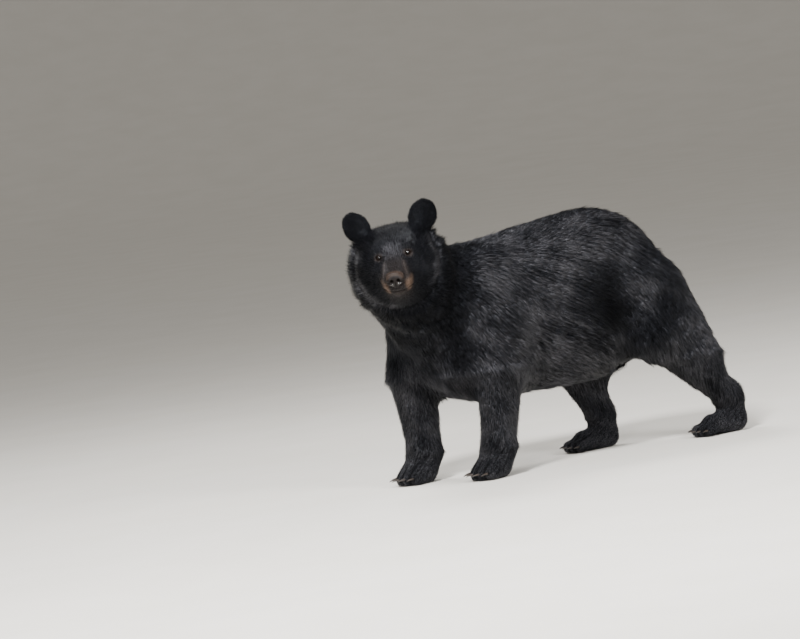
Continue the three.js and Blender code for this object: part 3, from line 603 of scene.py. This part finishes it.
bpy.ops.object.shade_smooth()
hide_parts("nose")
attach(pad, "root")

# ---- The claws -------------------------------------------------------------------------------
# Twenty, five on each paw, grown in layers along their length and worn blunt at the tip. They are
# set in the paws through the hide.

# Horn: dark, with paler fibres along the claw and a dull polish.
horn, shader = new_material("claw_horn")
place = add(horn, "TexCoord")
stretched = add(horn, "Mapping", {"Vector": place.outputs["Object"], "Scale": (1, 0.12, 0.4)})
grain = add(horn, "TexNoise", {"Vector": stretched.outputs["Vector"], "Scale": 900, "Detail": 4})
tone = add(horn, "ValToRGB", {"Fac": grain.outputs["Fac"]})
shades(tone, (0.3, "#141110"), (0.55, "#2a221d"), (0.8, "#54463a"))
link(horn, tone.outputs["Color"], shader.inputs["Base Color"])
raised = add(horn, "Bump", {"Height": grain.outputs["Fac"], "Strength": 0.3, "Distance": 0.0004})
link(horn, raised.outputs["Normal"], shader.inputs["Normal"])
shader.inputs["Roughness"].default_value = 0.33
for name in [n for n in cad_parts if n.startswith("claw_")]:
    claw = copy_of(name, name + "_horn")
    claw.data.materials.append(horn)
    rounded_off(claw, "rounded", 2)
    bpy.ops.object.shade_smooth()
    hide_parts(name)
    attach(claw, "root")

# ---- The coat --------------------------------------------------------------------------------
# Guard hair over wool, combed the way it grows: back from the nose, over the crown and down the
# flanks to the feet. Every tuft is a thin tapered lock of solid hair set in the hide.

# Over each part: a tuft's length and width in millimetres, how far it stands off the hide in
# degrees, and how many grow on a square centimetre.
COAT = {
    "torso": (40, 2.5, 15, 7.1),
    "neck": (42, 2.7, 19, 7.6),
    "tail": (36, 3.0, 18, 8),
    "head": (20, 2.0, 22, 20),
    "ear": (12, 1.7, 26, 36),
    "foreleg": (28, 2.4, 17, 7.8),
    "thigh": (38, 2.5, 15, 7.4),
    "shank": (26, 2.4, 17, 7.8),
    "forepaw": (11, 2.0, 20, 15),
    "hindpaw": (11, 2.0, 20, 15),
}
# Which way the hair lies at places over the body, given on the left side and alike on the right:
# metres from the middle line, back and up, then the way.
MIDLINE = (middle("foreleg_left").x + middle("foreleg_right").x) / 2
LIE = (
    ((0.00, -0.26, 0.87), (0, 1, -0.05)),
    ((0.00, 0.10, 0.92), (0, 1, 0.0)),
    ((0.00, 0.40, 0.92), (0, 1, -0.45)),
    ((0.00, 0.58, 0.72), (0, 0.3, -1)),
    ((0.16, -0.30, 0.78), (0.2, 0.8, -0.55)),
    ((0.22, -0.30, 0.60), (0, 0.55, -0.85)),
    ((0.27, 0.05, 0.72), (0, 0.8, -0.5)),
    ((0.27, 0.05, 0.52), (0, 0.75, -0.65)),
    ((0.20, 0.05, 0.34), (0, 0.85, -0.45)),
    ((0.00, 0.02, 0.27), (0, 1, -0.1)),
    ((0.20, 0.42, 0.62), (0, 0.45, -0.9)),
    ((0.18, 0.48, 0.42), (0, 0.2, -1)),
    ((0.16, -0.30, 0.30), (0, 0.1, -1)),
    ((0.16, -0.20, 0.42), (0, 0.6, -0.8)),
    ((0.15, 0.60, 0.20), (0, 0.15, -1)),
    ((0.15, 0.25, 0.20), (0, 0.15, -1)),
    ((0.00, -0.56, 0.50), (0, 0.15, -1)),
    ((0.14, -0.52, 0.48), (0.1, 0.3, -1)),
    ((0.20, -0.50, 0.74), (-0.1, 0.75, -0.65)),
    ((0.05, -0.42, 0.92), (-0.2, 1, -0.1)),
    ((0.00, 0.62, 0.62), (0, 0.1, -1)),
)
LIE_REACH = 0.15  # metres over which the way at such a place fades
# The hair lies away from these, in millimetres in the head's frame.
NOSE_TIP, EAR_ROOT = np.array([0, -168, -52]), np.array([100, 98, 18])
TUFT_SEED, LOCK_SEED = 11, 21
hair_draw = np.random.default_rng(TUFT_SEED)

hide.data.calc_loop_triangles()
count = len(hide.data.loop_triangles)
tri = np.empty(count * 3, np.int32)
hide.data.loop_triangles.foreach_get("vertices", tri)
tri = tri.reshape(-1, 3)
loops = np.empty(count * 3, np.int32)
hide.data.loop_triangles.foreach_get("loops", loops)
loops = loops.reshape(-1, 3)
flat_uv = np.empty(len(hide.data.loops) * 2)
hide.data.uv_layers["OFBake"].data.foreach_get("uv", flat_uv)
flat_uv = flat_uv.reshape(-1, 2)
places = points_of(hide)
normals = normals_of(hide)
local = in_head(places)

# What part each corner of the finished hide belongs to, and its hair: shortest on the muzzle and
# round the eyes, longest in the ruff, and none on the nose, in the mouth and under the soles.
share = shares_of(hide, 10)
is_part = dict(zip(parts, share.T))
length, width, lift, density = (share @ np.array([COAT[p] for p in parts])).T
head = np.clip(is_part["head"], 0, 1)
muzzle = muzzle_of(local) * head
ruff = ruff_of(local) * head
crown = ramp(local[:, 2], 20, 70) * head


def toward(values, much, wanted):
    """Values drawn towards what is wanted, wholly where much is 1."""
    return values + much * (wanted - values)


on_face = np.linalg.norm(local - FACE_MIDDLE, axis=1)
cheek = ramp(on_face, 70, 150)
length = toward(length, head, 9 + 8 * cheek)
length = toward(length, ruff, 36)
length = toward(length, crown, 14)
length = toward(length, muzzle, 5)
width = toward(width, head, 1.4 + 0.4 * cheek)
width = toward(width, ruff, 2.0)
width = toward(width, muzzle, 1.1)
lift = toward(lift, head, 26)
lift = toward(lift, ruff, 30)
lift = toward(lift, muzzle, 22)
density = toward(density, head, 44 - 14 * cheek)
density = toward(density, ruff, 13)
density = toward(density, muzzle, 60)
for side in BROW_TURN:
    _, d, turn, past = past_lids(local, side)
    by_eye = (1 - ramp(d, 20, 40)) * (turn < 120)
    length = toward(length, by_eye, 4.5)
    width = toward(width, by_eye, 1.0)
    density = toward(density, by_eye, 60)
    density[(d < 26) & (past < 9)] = 0
PAD_RADII = np.array([35, 24, 29])
nose_gap = np.linalg.norm((local - NOSE_MIDDLE) / PAD_RADII, axis=1)
density[(nose_gap < 1.0) & (local[:, 1] < -118)] = 0
lip = np.exp(-((from_mouth(local) / 3.2) ** 2)) * (local[:, 1] < MOUTH_BACK)
lip *= (np.abs(local[:, 0]) < 80) * (local[:, 2] < -60)
density *= 1 - 0.9 * np.clip(lip * head, 0, 1)
SOLE_TOP, ANKLE_TOP = 0.006, 0.03
density[places[:, 2] < SOLE_TOP] = 0
length = np.where(places[:, 2] < ANKLE_TOP, np.minimum(length, 9), length)


def fold_over(points):
    """Places on the left side and the right alike: metres from the middle line, back and up."""
    return np.stack([np.abs(points[:, 0] - MIDLINE), points[:, 1], points[:, 2]], axis=1)


folded = fold_over(places)
groin = near(folded, (0.05, 0.32, 0.31), (0.16, 0.13, 0.12))
length, lift = toward(length, groin, 16), toward(lift, groin, 8)


def wave(points, size, seed, turns=7):
    """A smooth wander between about -1 and 1 whose bumps are `size` metres apart."""
    draw = np.random.default_rng(seed)
    way = draw.normal(size=(turns, 3))
    way *= (2 * math.pi / size / np.linalg.norm(way, axis=1) * draw.uniform(0.6, 1.5, turns))[:, None]
    return np.sin(points @ way.T + draw.uniform(0, 6.28, turns)).sum(1) / math.sqrt(turns)


def unit(vectors):
    return vectors / np.maximum(np.linalg.norm(vectors, axis=1), 1e-9)[:, None]


# The muzzle is brown, palest on the lips' sides and in a rim over the nose, and so is the skin
# round the eyes. The rest is black.
bare_x, ahead, height = np.abs(local[:, 0]), -local[:, 1], local[:, 2]
brown = 0.06 * ramp(ahead, 28, 88) * (1 - ramp(bare_x - 0.25 * ahead, 26, 46))
ridge = np.exp(-(((bare_x - 24 - 0.16 * ahead) / 7) ** 2)) * ramp(ahead, 34, 84)
ridge *= ramp(height, -75, -50)
lip_sides = ramp(bare_x, 22, 40) * ramp(ahead, 64, 92) * (1 - ramp(height, -78, -48))
lip_sides *= ramp(height, -132, -112)
over_nose = (1 - ramp(nose_gap, 1.04, 1.24)) * ramp(height, -46, -32)
chin = 0.11 * ramp(ahead, 80, 108) * (1 - ramp(height, -112, -102)) * ramp(height, -136, -124)
brown = np.max([brown, 0.13 * ridge, 0.66 * lip_sides, 0.32 * over_nose, chin], axis=0)
round_eyes = np.full(len(places), np.inf)
for side, sign in BROW_TURN.items():
    off_eye = local - eye_centre[side] - np.array([-4 * sign, 0, -3])
    round_eyes = np.minimum(round_eyes, np.linalg.norm(off_eye / np.array([1.2, 1, 1]), axis=1))
brown = np.maximum(brown, 0.085 * (1 - ramp(round_eyes, 15, 24)))
brown *= head

# Painted light on the coat: a number for each corner that lightens or darkens the tufts' tone,
# and with it their gleam. It paints a sheen along the body, a painted highlight before the shoulder,
# in a ring round the face and between the eyes. The rest of the face, the ears and the tail are
# painted darker, and so are the hollows behind the cheeks and before the thighs as painted shade,
# given as middle, radii and how much darker; a minus is a painted highlight.
PAINTED_SHADE_AND_SHEEN = (
    ((0.24, -0.500, 0.700), (0.17, 0.09, 0.18), 0.50),
    ((0.16, -0.420, 0.520), (0.13, 0.08, 0.20), 0.60),
    ((0.17, -0.310, 0.760), (0.11, 0.07, 0.11), -0.75),
    ((0.28, 0.160, 0.570), (0.15, 0.17, 0.20), 0.95),
    ((0.24, 0.245, 0.500), (0.12, 0.12, 0.17), 0.55),
    ((0.28, 0.240, 0.690), (0.14, 0.16, 0.09), 0.75),
    ((0.25, 0.440, 0.510), (0.14, 0.16, 0.15), 0.65),
    ((0.17, 0.460, 0.700), (0.12, 0.11, 0.12), 0.50),
    ((0.20, 0.330, 0.400), (0.13, 0.13, 0.12), 0.50),
    ((0.00, 0.200, 0.930), (0.09, 0.40, 0.13), 0.60),
)
# The ring round the face: a painted highlight, broken up and fading above and low on its left side; the
# ruff's hair there also stands further up.
RING_RADIUS, RING_WIDTH = 160, 21
ring_off = on_face - RING_RADIUS + 6 * wave(places, 0.06, 16)
ring = np.exp(-((ring_off / RING_WIDTH) ** 2)) * (1 - ramp(local[:, 2], -10, 45))
ring *= 1 - 0.8 * ramp(-local[:, 2], 115, 160) * ramp(local[:, 0], -40, 10)
ring *= np.clip(head + is_part["neck"], 0, 1) * (0.85 + 0.2 * wave(places, 0.05, 17))
round_neck = even_out(is_part["neck"], neighbours_of(hide), 160)
trunk = is_part["torso"]
# Painted shade: darker on the head, ears, crown and tail, round the neck, at the front of the trunk, on the
# top of the rump and past the ring; a painted sheen along the upper back.
painted_light = 1.12 - 0.57 * head - 0.92 * is_part["ear"] - 0.72 * round_neck * (1 - head) - 0.08 * crown
painted_light -= 0.25 * trunk * ramp(-places[:, 1], 0.40, 0.52) + 0.75 * is_part["tail"]
painted_light += 0.13 * trunk * near(places, (0.16, 0.02, 0.80), (0.16, 0.34, 0.11))
painted_light -= 0.14 * trunk * ramp(places[:, 1], 0.42, 0.56) * ramp(places[:, 2], 0.62, 0.80)
painted_light -= 0.25 * head * ramp(on_face, 178, 200)
# Painted shade in each hollow, and a painted highlight where the amount is a minus.
for centre, radius, much in PAINTED_SHADE_AND_SHEEN:
    painted_light -= much * near(folded, centre, radius) * (1 - head)
painted_light = np.clip(painted_light, 0.05, 1.3)
# A painted highlight between the eyes, painted shade on the muzzle's top just before them, a painted
# highlight along the muzzle's ridges, lighter round the eyes, and the ring's painted highlight.
painted_light = np.maximum(painted_light, 1.75 * head * near(local, (2, -44, 22), (84, 90, 66)))
painted_light *= 1 - 0.35 * head * near(local, (0, -66, -4), (36, 34, 34))
painted_light += 0.6 * head * ridge + 0.34 * head * (1 - ramp(round_eyes, 14, 30))
painted_light = np.maximum(painted_light, 1.7 * ring)
lift += 12 * ring
numbers(hide, "brown", brown)


def lie_at(points, local, part_share):
    """The way the hair is combed at these places, before it is laid on the hide."""
    side = np.where(points[:, 0] > MIDLINE, 1.0, -1.0)
    folded = fold_over(points)
    total = np.zeros_like(points)
    for place, way in LIE:
        apart = np.linalg.norm(folded - np.array(place), axis=1)
        weight = np.exp(-((apart / LIE_REACH) ** 2)) + 1e-6
        total += weight[:, None] * np.array(way) / np.linalg.norm(way)
    total[:, 0] *= side
    total = unit(total)
    paw = (part_share[:, parts.index("forepaw")] + part_share[:, parts.index("hindpaw")])[:, None]
    total = unit(total + 2.2 * paw * np.array([0, -0.85, -0.35]))
    from_nose = local - NOSE_TIP
    from_nose[:, 1] += 30 * ramp(local[:, 1], 20, 110)
    face = unit(from_nose) @ HEAD_AXES.T
    head_share = part_share[:, parts.index("head")][:, None]
    total = unit(total * (1 - head_share) + 1.6 * head_share * face)
    for sign in (1, -1):
        ear_lie = unit(local - EAR_ROOT * np.array([sign, 1, 1])) @ HEAD_AXES.T
        on_ear = (part_share[:, parts.index("ear")] * (np.sign(local[:, 0]) == sign))[:, None]
        total = unit(total * (1 - on_ear) + 2 * on_ear * ear_lie)
    return total


# Roots, drawn evenly over the hide by how many tufts each face should carry.
edge_a = places[tri[:, 1]] - places[tri[:, 0]]
edge_b = places[tri[:, 2]] - places[tri[:, 0]]
area = np.linalg.norm(np.cross(edge_a, edge_b), axis=1) / 2
wanted = area * 1e4 * density[tri].mean(1)
so_far = np.cumsum(wanted)
picks = np.arange(0.5, so_far[-1], 1.0)
face_of = np.searchsorted(so_far, picks)
u, v = hair_draw.random(len(picks)), hair_draw.random(len(picks))
over = u + v > 1
u[over], v[over] = 1 - u[over], 1 - v[over]
mix = np.stack([1 - u - v, u, v], axis=1)


def at_roots(values):
    """What a value at the hide's corners comes to at each root."""
    corner_values = values[tri[face_of]]
    return (corner_values * (mix[:, :, None] if values.ndim == 2 else mix)).sum(1)


root = at_roots(places)
out = unit(at_roots(normals))
root_local = in_head(root)
root_share = at_roots(share)
root_uv = (flat_uv[loops[face_of]] * mix[:, :, None]).sum(1)
root_length, root_width, root_lift = at_roots(length), at_roots(width), at_roots(lift)
root_brown, root_painted_light = at_roots(brown), at_roots(painted_light)
root_head = at_roots(head)
toe_gap = between_toes(root)


def laid(vectors):
    """Directions laid flat on the hide."""
    return unit(vectors - (vectors * out).sum(1)[:, None] * out)


# The hair is combed, then a little out of order: in wide and narrow waves and each tuft alone.
way = lie_at(root, root_local, root_share)
combed = laid(way)
for size, much, seeds in ((0.30, 0.16, (3, 4, 5)), (0.06, 0.07, (6, 7, 8))):
    way += much * np.stack([wave(root, size, seed) for seed in seeds], axis=1)
way += 0.045 * hair_draw.normal(size=way.shape)
way = laid(way)
across = np.cross(out, way)
uneven = 1 + 0.18 * hair_draw.normal(size=len(root)) + 0.12 * wave(root, 0.06, 9)
grown = root_length * np.clip(uneven, 0.45, 1.5) / 1000
grown *= 1 - 0.45 * toe_gap
wide = root_width * hair_draw.uniform(0.75, 1.25, len(root)) / 1000
uneven = 1 + 0.27 * hair_draw.normal(size=len(root)) + 0.16 * wave(root, 0.05, 10)
rise = np.radians(root_lift * np.clip(uneven, 0.4, 2.0))

# Neighbouring tufts lean together into locks, as a coat does.
HEAD_LOCK, BODY_LOCK = 0.007, 0.010  # metres across
CELLS = 4000  # more than the bear is long, in locks
of_head = root_head > 0.5
wander = 0.004 * np.stack([wave(root, 0.03, seed) for seed in (12, 13, 14)], axis=1)
cell = np.where(of_head, HEAD_LOCK, BODY_LOCK)[:, None]
box = np.floor((root + wander) / cell).astype(np.int64) + CELLS // 2
key = ((box[:, 0] * CELLS + box[:, 1]) * CELLS + box[:, 2]) * 2 + of_head
_, lock = np.unique(key, return_inverse=True)
held = np.bincount(lock)
centre = np.stack([np.bincount(lock, root[:, i]) / held for i in range(3)], axis=1)[lock]
gather = centre - root
gather -= (gather * out).sum(1)[:, None] * out


def off_root(lift, far):
    """A place on each tuft: so far from its root, lifted off the hide by an angle."""
    return root + far[:, None] * (np.cos(lift)[:, None] * way + np.sin(lift)[:, None] * out)


# A tuft rises steeply from its root, bends over and comes to its tip, clear of the floor.
middle_place = off_root(1.35 * rise, 0.42 * grown) + 0.06 * gather
tip = off_root(0.88 * rise, grown) + np.where(root_length < 16, 0.20, 0.26)[:, None] * gather
tip[:, 2] = np.maximum(tip[:, 2], 0.002)
middle_place[:, 2] = np.maximum(middle_place[:, 2], 0.004)
sunk = root - np.minimum(0.0016, 0.06 * grown)[:, None] * out

# Each tuft's tone: a painted sheen in light and dark streaks along the lie, light and dark in locks, in wide
# waves and from tuft to tuft, and fine speckles of painted sheen on the head.
lock_shade = np.random.default_rng(LOCK_SEED).random(lock.max() + 1)[lock]
painted_sheen_streak = sum(wave(root + 0.003 * k * combed, 0.008, 15, 10) for k in range(-7, 8)) / 5
tone_of = 0.58 + 0.13 * (1 - root_head) * painted_sheen_streak + 0.12 * (lock_shade - 0.5)
tone_of += 0.13 * wave(root, 0.11, 22) + 0.2 * root_head * wave(root, 0.007, 18, 10)
tone_of += (0.16 + 0.12 * root_head) * hair_draw.normal(size=len(root))
# The tone is scaled by the painted light, and the dips between the toes are darkened as painted shade.
tone_of = np.clip(root_painted_light * tone_of * (1 - 0.75 * toe_gap), 0, 1)


def black_or_tan(material, shader, pattern, blacks, tans):
    """Colours a material by a pattern in shades of black, and of tan where the coat is brown."""
    brownness = add(material, "Attribute", attribute_name="brown")
    black = add(material, "ValToRGB", {"Fac": pattern})
    shades(black, *blacks)
    tan = add(material, "ValToRGB", {"Fac": pattern})
    shades(tan, *tans)
    mixed = add(material, "Mix", {"Factor": brownness.outputs["Fac"]}, data_type="RGBA")
    link(material, black.outputs["Color"], mixed.inputs["A"])
    link(material, tan.outputs["Color"], mixed.inputs["B"])
    link(material, mixed.outputs["Result"], shader.inputs["Base Color"])


# Hair: black with a cold gleam along it, more on the lighter tufts. The tone each tuft carries,
# painted sheen and painted shade included, sets both its colour and how much it gleams.
hair, shader = new_material("black_guard_hair")
shade = add(hair, "Attribute", attribute_name="shade").outputs["Fac"]
HAIR_BLACKS = ((0.0, "#040405"), (0.5, "#101014"), (1.0, "#34363c"))
HAIR_TANS = ((0.0, "#5c493c"), (0.4, "#8e7563"), (1.0, "#b8a08c"))
black_or_tan(hair, shader, shade, HAIR_BLACKS, HAIR_TANS)
shader.inputs["Specular IOR Level"].default_value = 0.34  # where the shine isn't read
shine = add(hair, "MapRange", {"Value": shade, "To Min": 0.04, "To Max": 0.68})
link(hair, shine.outputs["Result"], shader.inputs["Specular IOR Level"])
shader.inputs["Roughness"].default_value = 0.42
shader.inputs["Specular Tint"].default_value = linear("#d2d9e6")

FLATNESS = 0.5  # a tuft's thickness against its width
SHORT = 29  # millimetres, from where a tuft is bent
MOST_SHORT, MOST_LONG = 48000, 32000  # tufts to a piece


def tuft_mesh(name, which, short):
    """Joined solid tufts, flattened and tapering to a point: short ones straight from a broad
    root, long ones thickest a third of the way up and bent over there."""
    n = len(which)
    ring = np.radians([90, 210, 330])
    side_way = np.cos(ring)[None, :, None] * across[which][:, None, :]
    thick_way = np.sin(ring)[None, :, None] * out[which][:, None, :] * FLATNESS
    section = (side_way + thick_way) * (wide[which] / 2)[:, None, None]
    uv_ring = np.stack([np.cos(ring), np.sin(ring)], axis=1) * 0.0015
    if short:
        points = [sunk[which][:, None, :] + section, tip[which][:, None, :]]
        faces = [(0, 1, 3), (1, 2, 3), (2, 0, 3), (2, 1, 0)]
        spots = np.concatenate([uv_ring, [[0, 0]]])
    else:
        points = [middle_place[which][:, None, :] + section, tip[which][:, None, :], sunk[which][:, None, :]]
        faces = [(0, 1, 3), (1, 2, 3), (2, 0, 3), (1, 0, 4), (2, 1, 4), (0, 2, 4)]
        spots = np.concatenate([uv_ring, [[0, 0.0004]], [[0, 0]]])
    points = np.concatenate(points, axis=1)
    each = points.shape[1]
    corner = np.array([i for f in faces for i in f])
    sizes = np.array([len(f) for f in faces])
    mesh = bpy.data.meshes.new(name)
    mesh.vertices.add(n * each)
    mesh.vertices.foreach_set("co", points.astype(np.float32).ravel())
    all_corners = (np.arange(n)[:, None] * each + corner[None, :]).ravel()
    mesh.loops.add(len(all_corners))
    mesh.loops.foreach_set("vertex_index", all_corners.astype(np.int32))
    all_sizes = np.tile(sizes, n)
    mesh.polygons.add(len(all_sizes))
    starts = np.concatenate([[0], np.cumsum(all_sizes)[:-1]])
    mesh.polygons.foreach_set("loop_start", starts.astype(np.int32))
    mesh.polygons.foreach_set("use_smooth", np.ones(len(all_sizes), bool))
    mesh.update(calc_edges=True)
    patch = mesh.uv_layers.new(name="OFBake")
    uv = (root_uv[which][:, None, :] + spots[corner][None, :, :]).reshape(-1, 2)
    patch.data.foreach_set("uv", uv.astype(np.float32).ravel())
    piece = bpy.data.objects.new(name, mesh)
    bpy.context.scene.collection.objects.link(piece)
    numbers(piece, "shade", np.repeat(tone_of[which], each))
    tan_share = np.clip(root_brown[which] + 0.08 * (tone_of[which] - 0.5), 0, 1)
    numbers(piece, "brown", np.repeat(tan_share, each))
    mesh.materials.append(hair)
    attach(piece, "root")


is_short = root_length < SHORT
regions = np.argmax(root_share, axis=1)
for i, kind in enumerate(parts):
    for label, mask in (("left", root[:, 0] > MIDLINE), ("right", root[:, 0] <= MIDLINE)):
        if kind in ("head", "neck", "ear"):
            mask = (root_local[:, 0] > 0) == (label == "left")
        for short in (False, True):
            chosen = np.nonzero((regions == i) & mask & (is_short == short))[0]
            chosen = chosen[np.argsort(root[chosen, 1])]
            most = MOST_SHORT if short else MOST_LONG
            name = f"coat_{kind}_{label}" + ("_short" if short else "")
            for k in range(0, len(chosen), most):
                number = f"_{k // most + 1}" if len(chosen) > most else ""
                tuft_mesh(name + number, chosen[k : k + most], short)

# Wool: the hide under the coat has the same markings, dull and dark, and the short wool between
# the tufts roughens it.
hide_skin, shader = new_material("hide_with_short_wool")
place = add(hide_skin, "TexCoord")
wool_size = {"Scale": 420, "Detail": 5, "Roughness": 0.6}
wool = add(hide_skin, "TexNoise", {"Vector": place.outputs["Object"], **wool_size})
WOOL_BLACKS = ((0.35, "#060607"), (0.7, "#0e0e10"))
WOOL_TANS = ((0.3, "#33231a"), (0.7, "#5a4030"))
black_or_tan(hide_skin, shader, wool.outputs["Fac"], WOOL_BLACKS, WOOL_TANS)
raised = add(hide_skin, "Bump", {"Height": wool.outputs["Fac"], "Strength": 0.6, "Distance": 0.001})
link(hide_skin, raised.outputs["Normal"], shader.inputs["Normal"])
shader.inputs["Roughness"].default_value = 0.85
shader.inputs["Specular IOR Level"].default_value = 0.12
hide.data.materials.append(hide_skin)
only(hide)
bpy.ops.object.shade_smooth()
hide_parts(*FLESH)
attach(hide, "root")

# ---- The floor and the lights ----------------------------------------------------------------
# A pale matt studio floor whose far rim sweeps up like a bowl, so that it has no edge, with a
# large lamp high on the left, wide ones low on the right and above and behind, and a small one
# by the viewer for the gleam in the eyes.
FLAT_TO, RIM_CURVE = 28, 60  # metres from the middle, and how gently the floor sweeps up there
profile = bpy.data.meshes.new("studio_floor")
rim = [(0.01, 0)]
for r in (4, 12, 28, 32, 36, 41, 47, 54, 62, 70):
    rim.append((r, 0 if r < FLAT_TO else (r - FLAT_TO) ** 2 / RIM_CURVE))
profile.from_pydata([(r, 0, z) for r, z in rim], [(i, i + 1) for i in range(len(rim) - 1)], [])
floor = bpy.data.objects.new("studio_floor", profile)
bpy.context.scene.collection.objects.link(floor)
turned_round = floor.modifiers.new("turned", "SCREW")
turned_round.steps = turned_round.render_steps = 96
turned_round.use_merge_vertices = True
apply_all(floor)
bpy.ops.object.shade_smooth()

# Paint: rolled on matt, a warm off-white that is a little uneven.
matt_floor, shader = new_material("matt_floor_paint")
place = add(matt_floor, "TexCoord")
mottle = add(matt_floor, "TexNoise", {"Vector": place.outputs["Object"], "Scale": 2.5, "Detail": 3})
tone = add(matt_floor, "ValToRGB", {"Fac": mottle.outputs["Fac"]})
shades(tone, (0.3, "#dcd8d0"), (0.7, "#e0dcd5"))
link(matt_floor, tone.outputs["Color"], shader.inputs["Base Color"])
shader.inputs["Roughness"].default_value = 0.9
floor.data.materials.append(matt_floor)

LAMPS = (  # where each stands and points, its width in metres and its watts
    ("key_lamp", (3.5, -3.5, 5.2), (0, -0.1, 0.6), 1.3, 930),
    ("fill_lamp", (6.6, 1.2, 2.8), (0, 0, 0.6), 2.6, 460),
    ("eye_lamp", (6.5, -5.0, 2.6), (0.2, -0.6, 0.8), 0.8, 270),
    ("top_lamp", (-2.4, -0.6, 4.8), (0, 0, 0.8), 2.0, 200),
)
for name, place, aim, size, power in LAMPS:
    bpy.ops.object.light_add(type="AREA", location=place)
    lamp = bpy.context.object
    lamp.name = name
    lamp.data.shape = "DISK"
    lamp.data.size = size
    lamp.data.energy = power
    lamp.rotation_euler = (Vector(aim) - Vector(place)).to_track_quat("-Z", "Y").to_euler()
world = bpy.data.worlds.new("studio_air")
bpy.context.scene.world = world
world.use_nodes = True
world.node_tree.nodes["Background"].inputs["Color"].default_value = linear("#e6e4e0")
world.node_tree.nodes["Background"].inputs["Strength"].default_value = 0.5
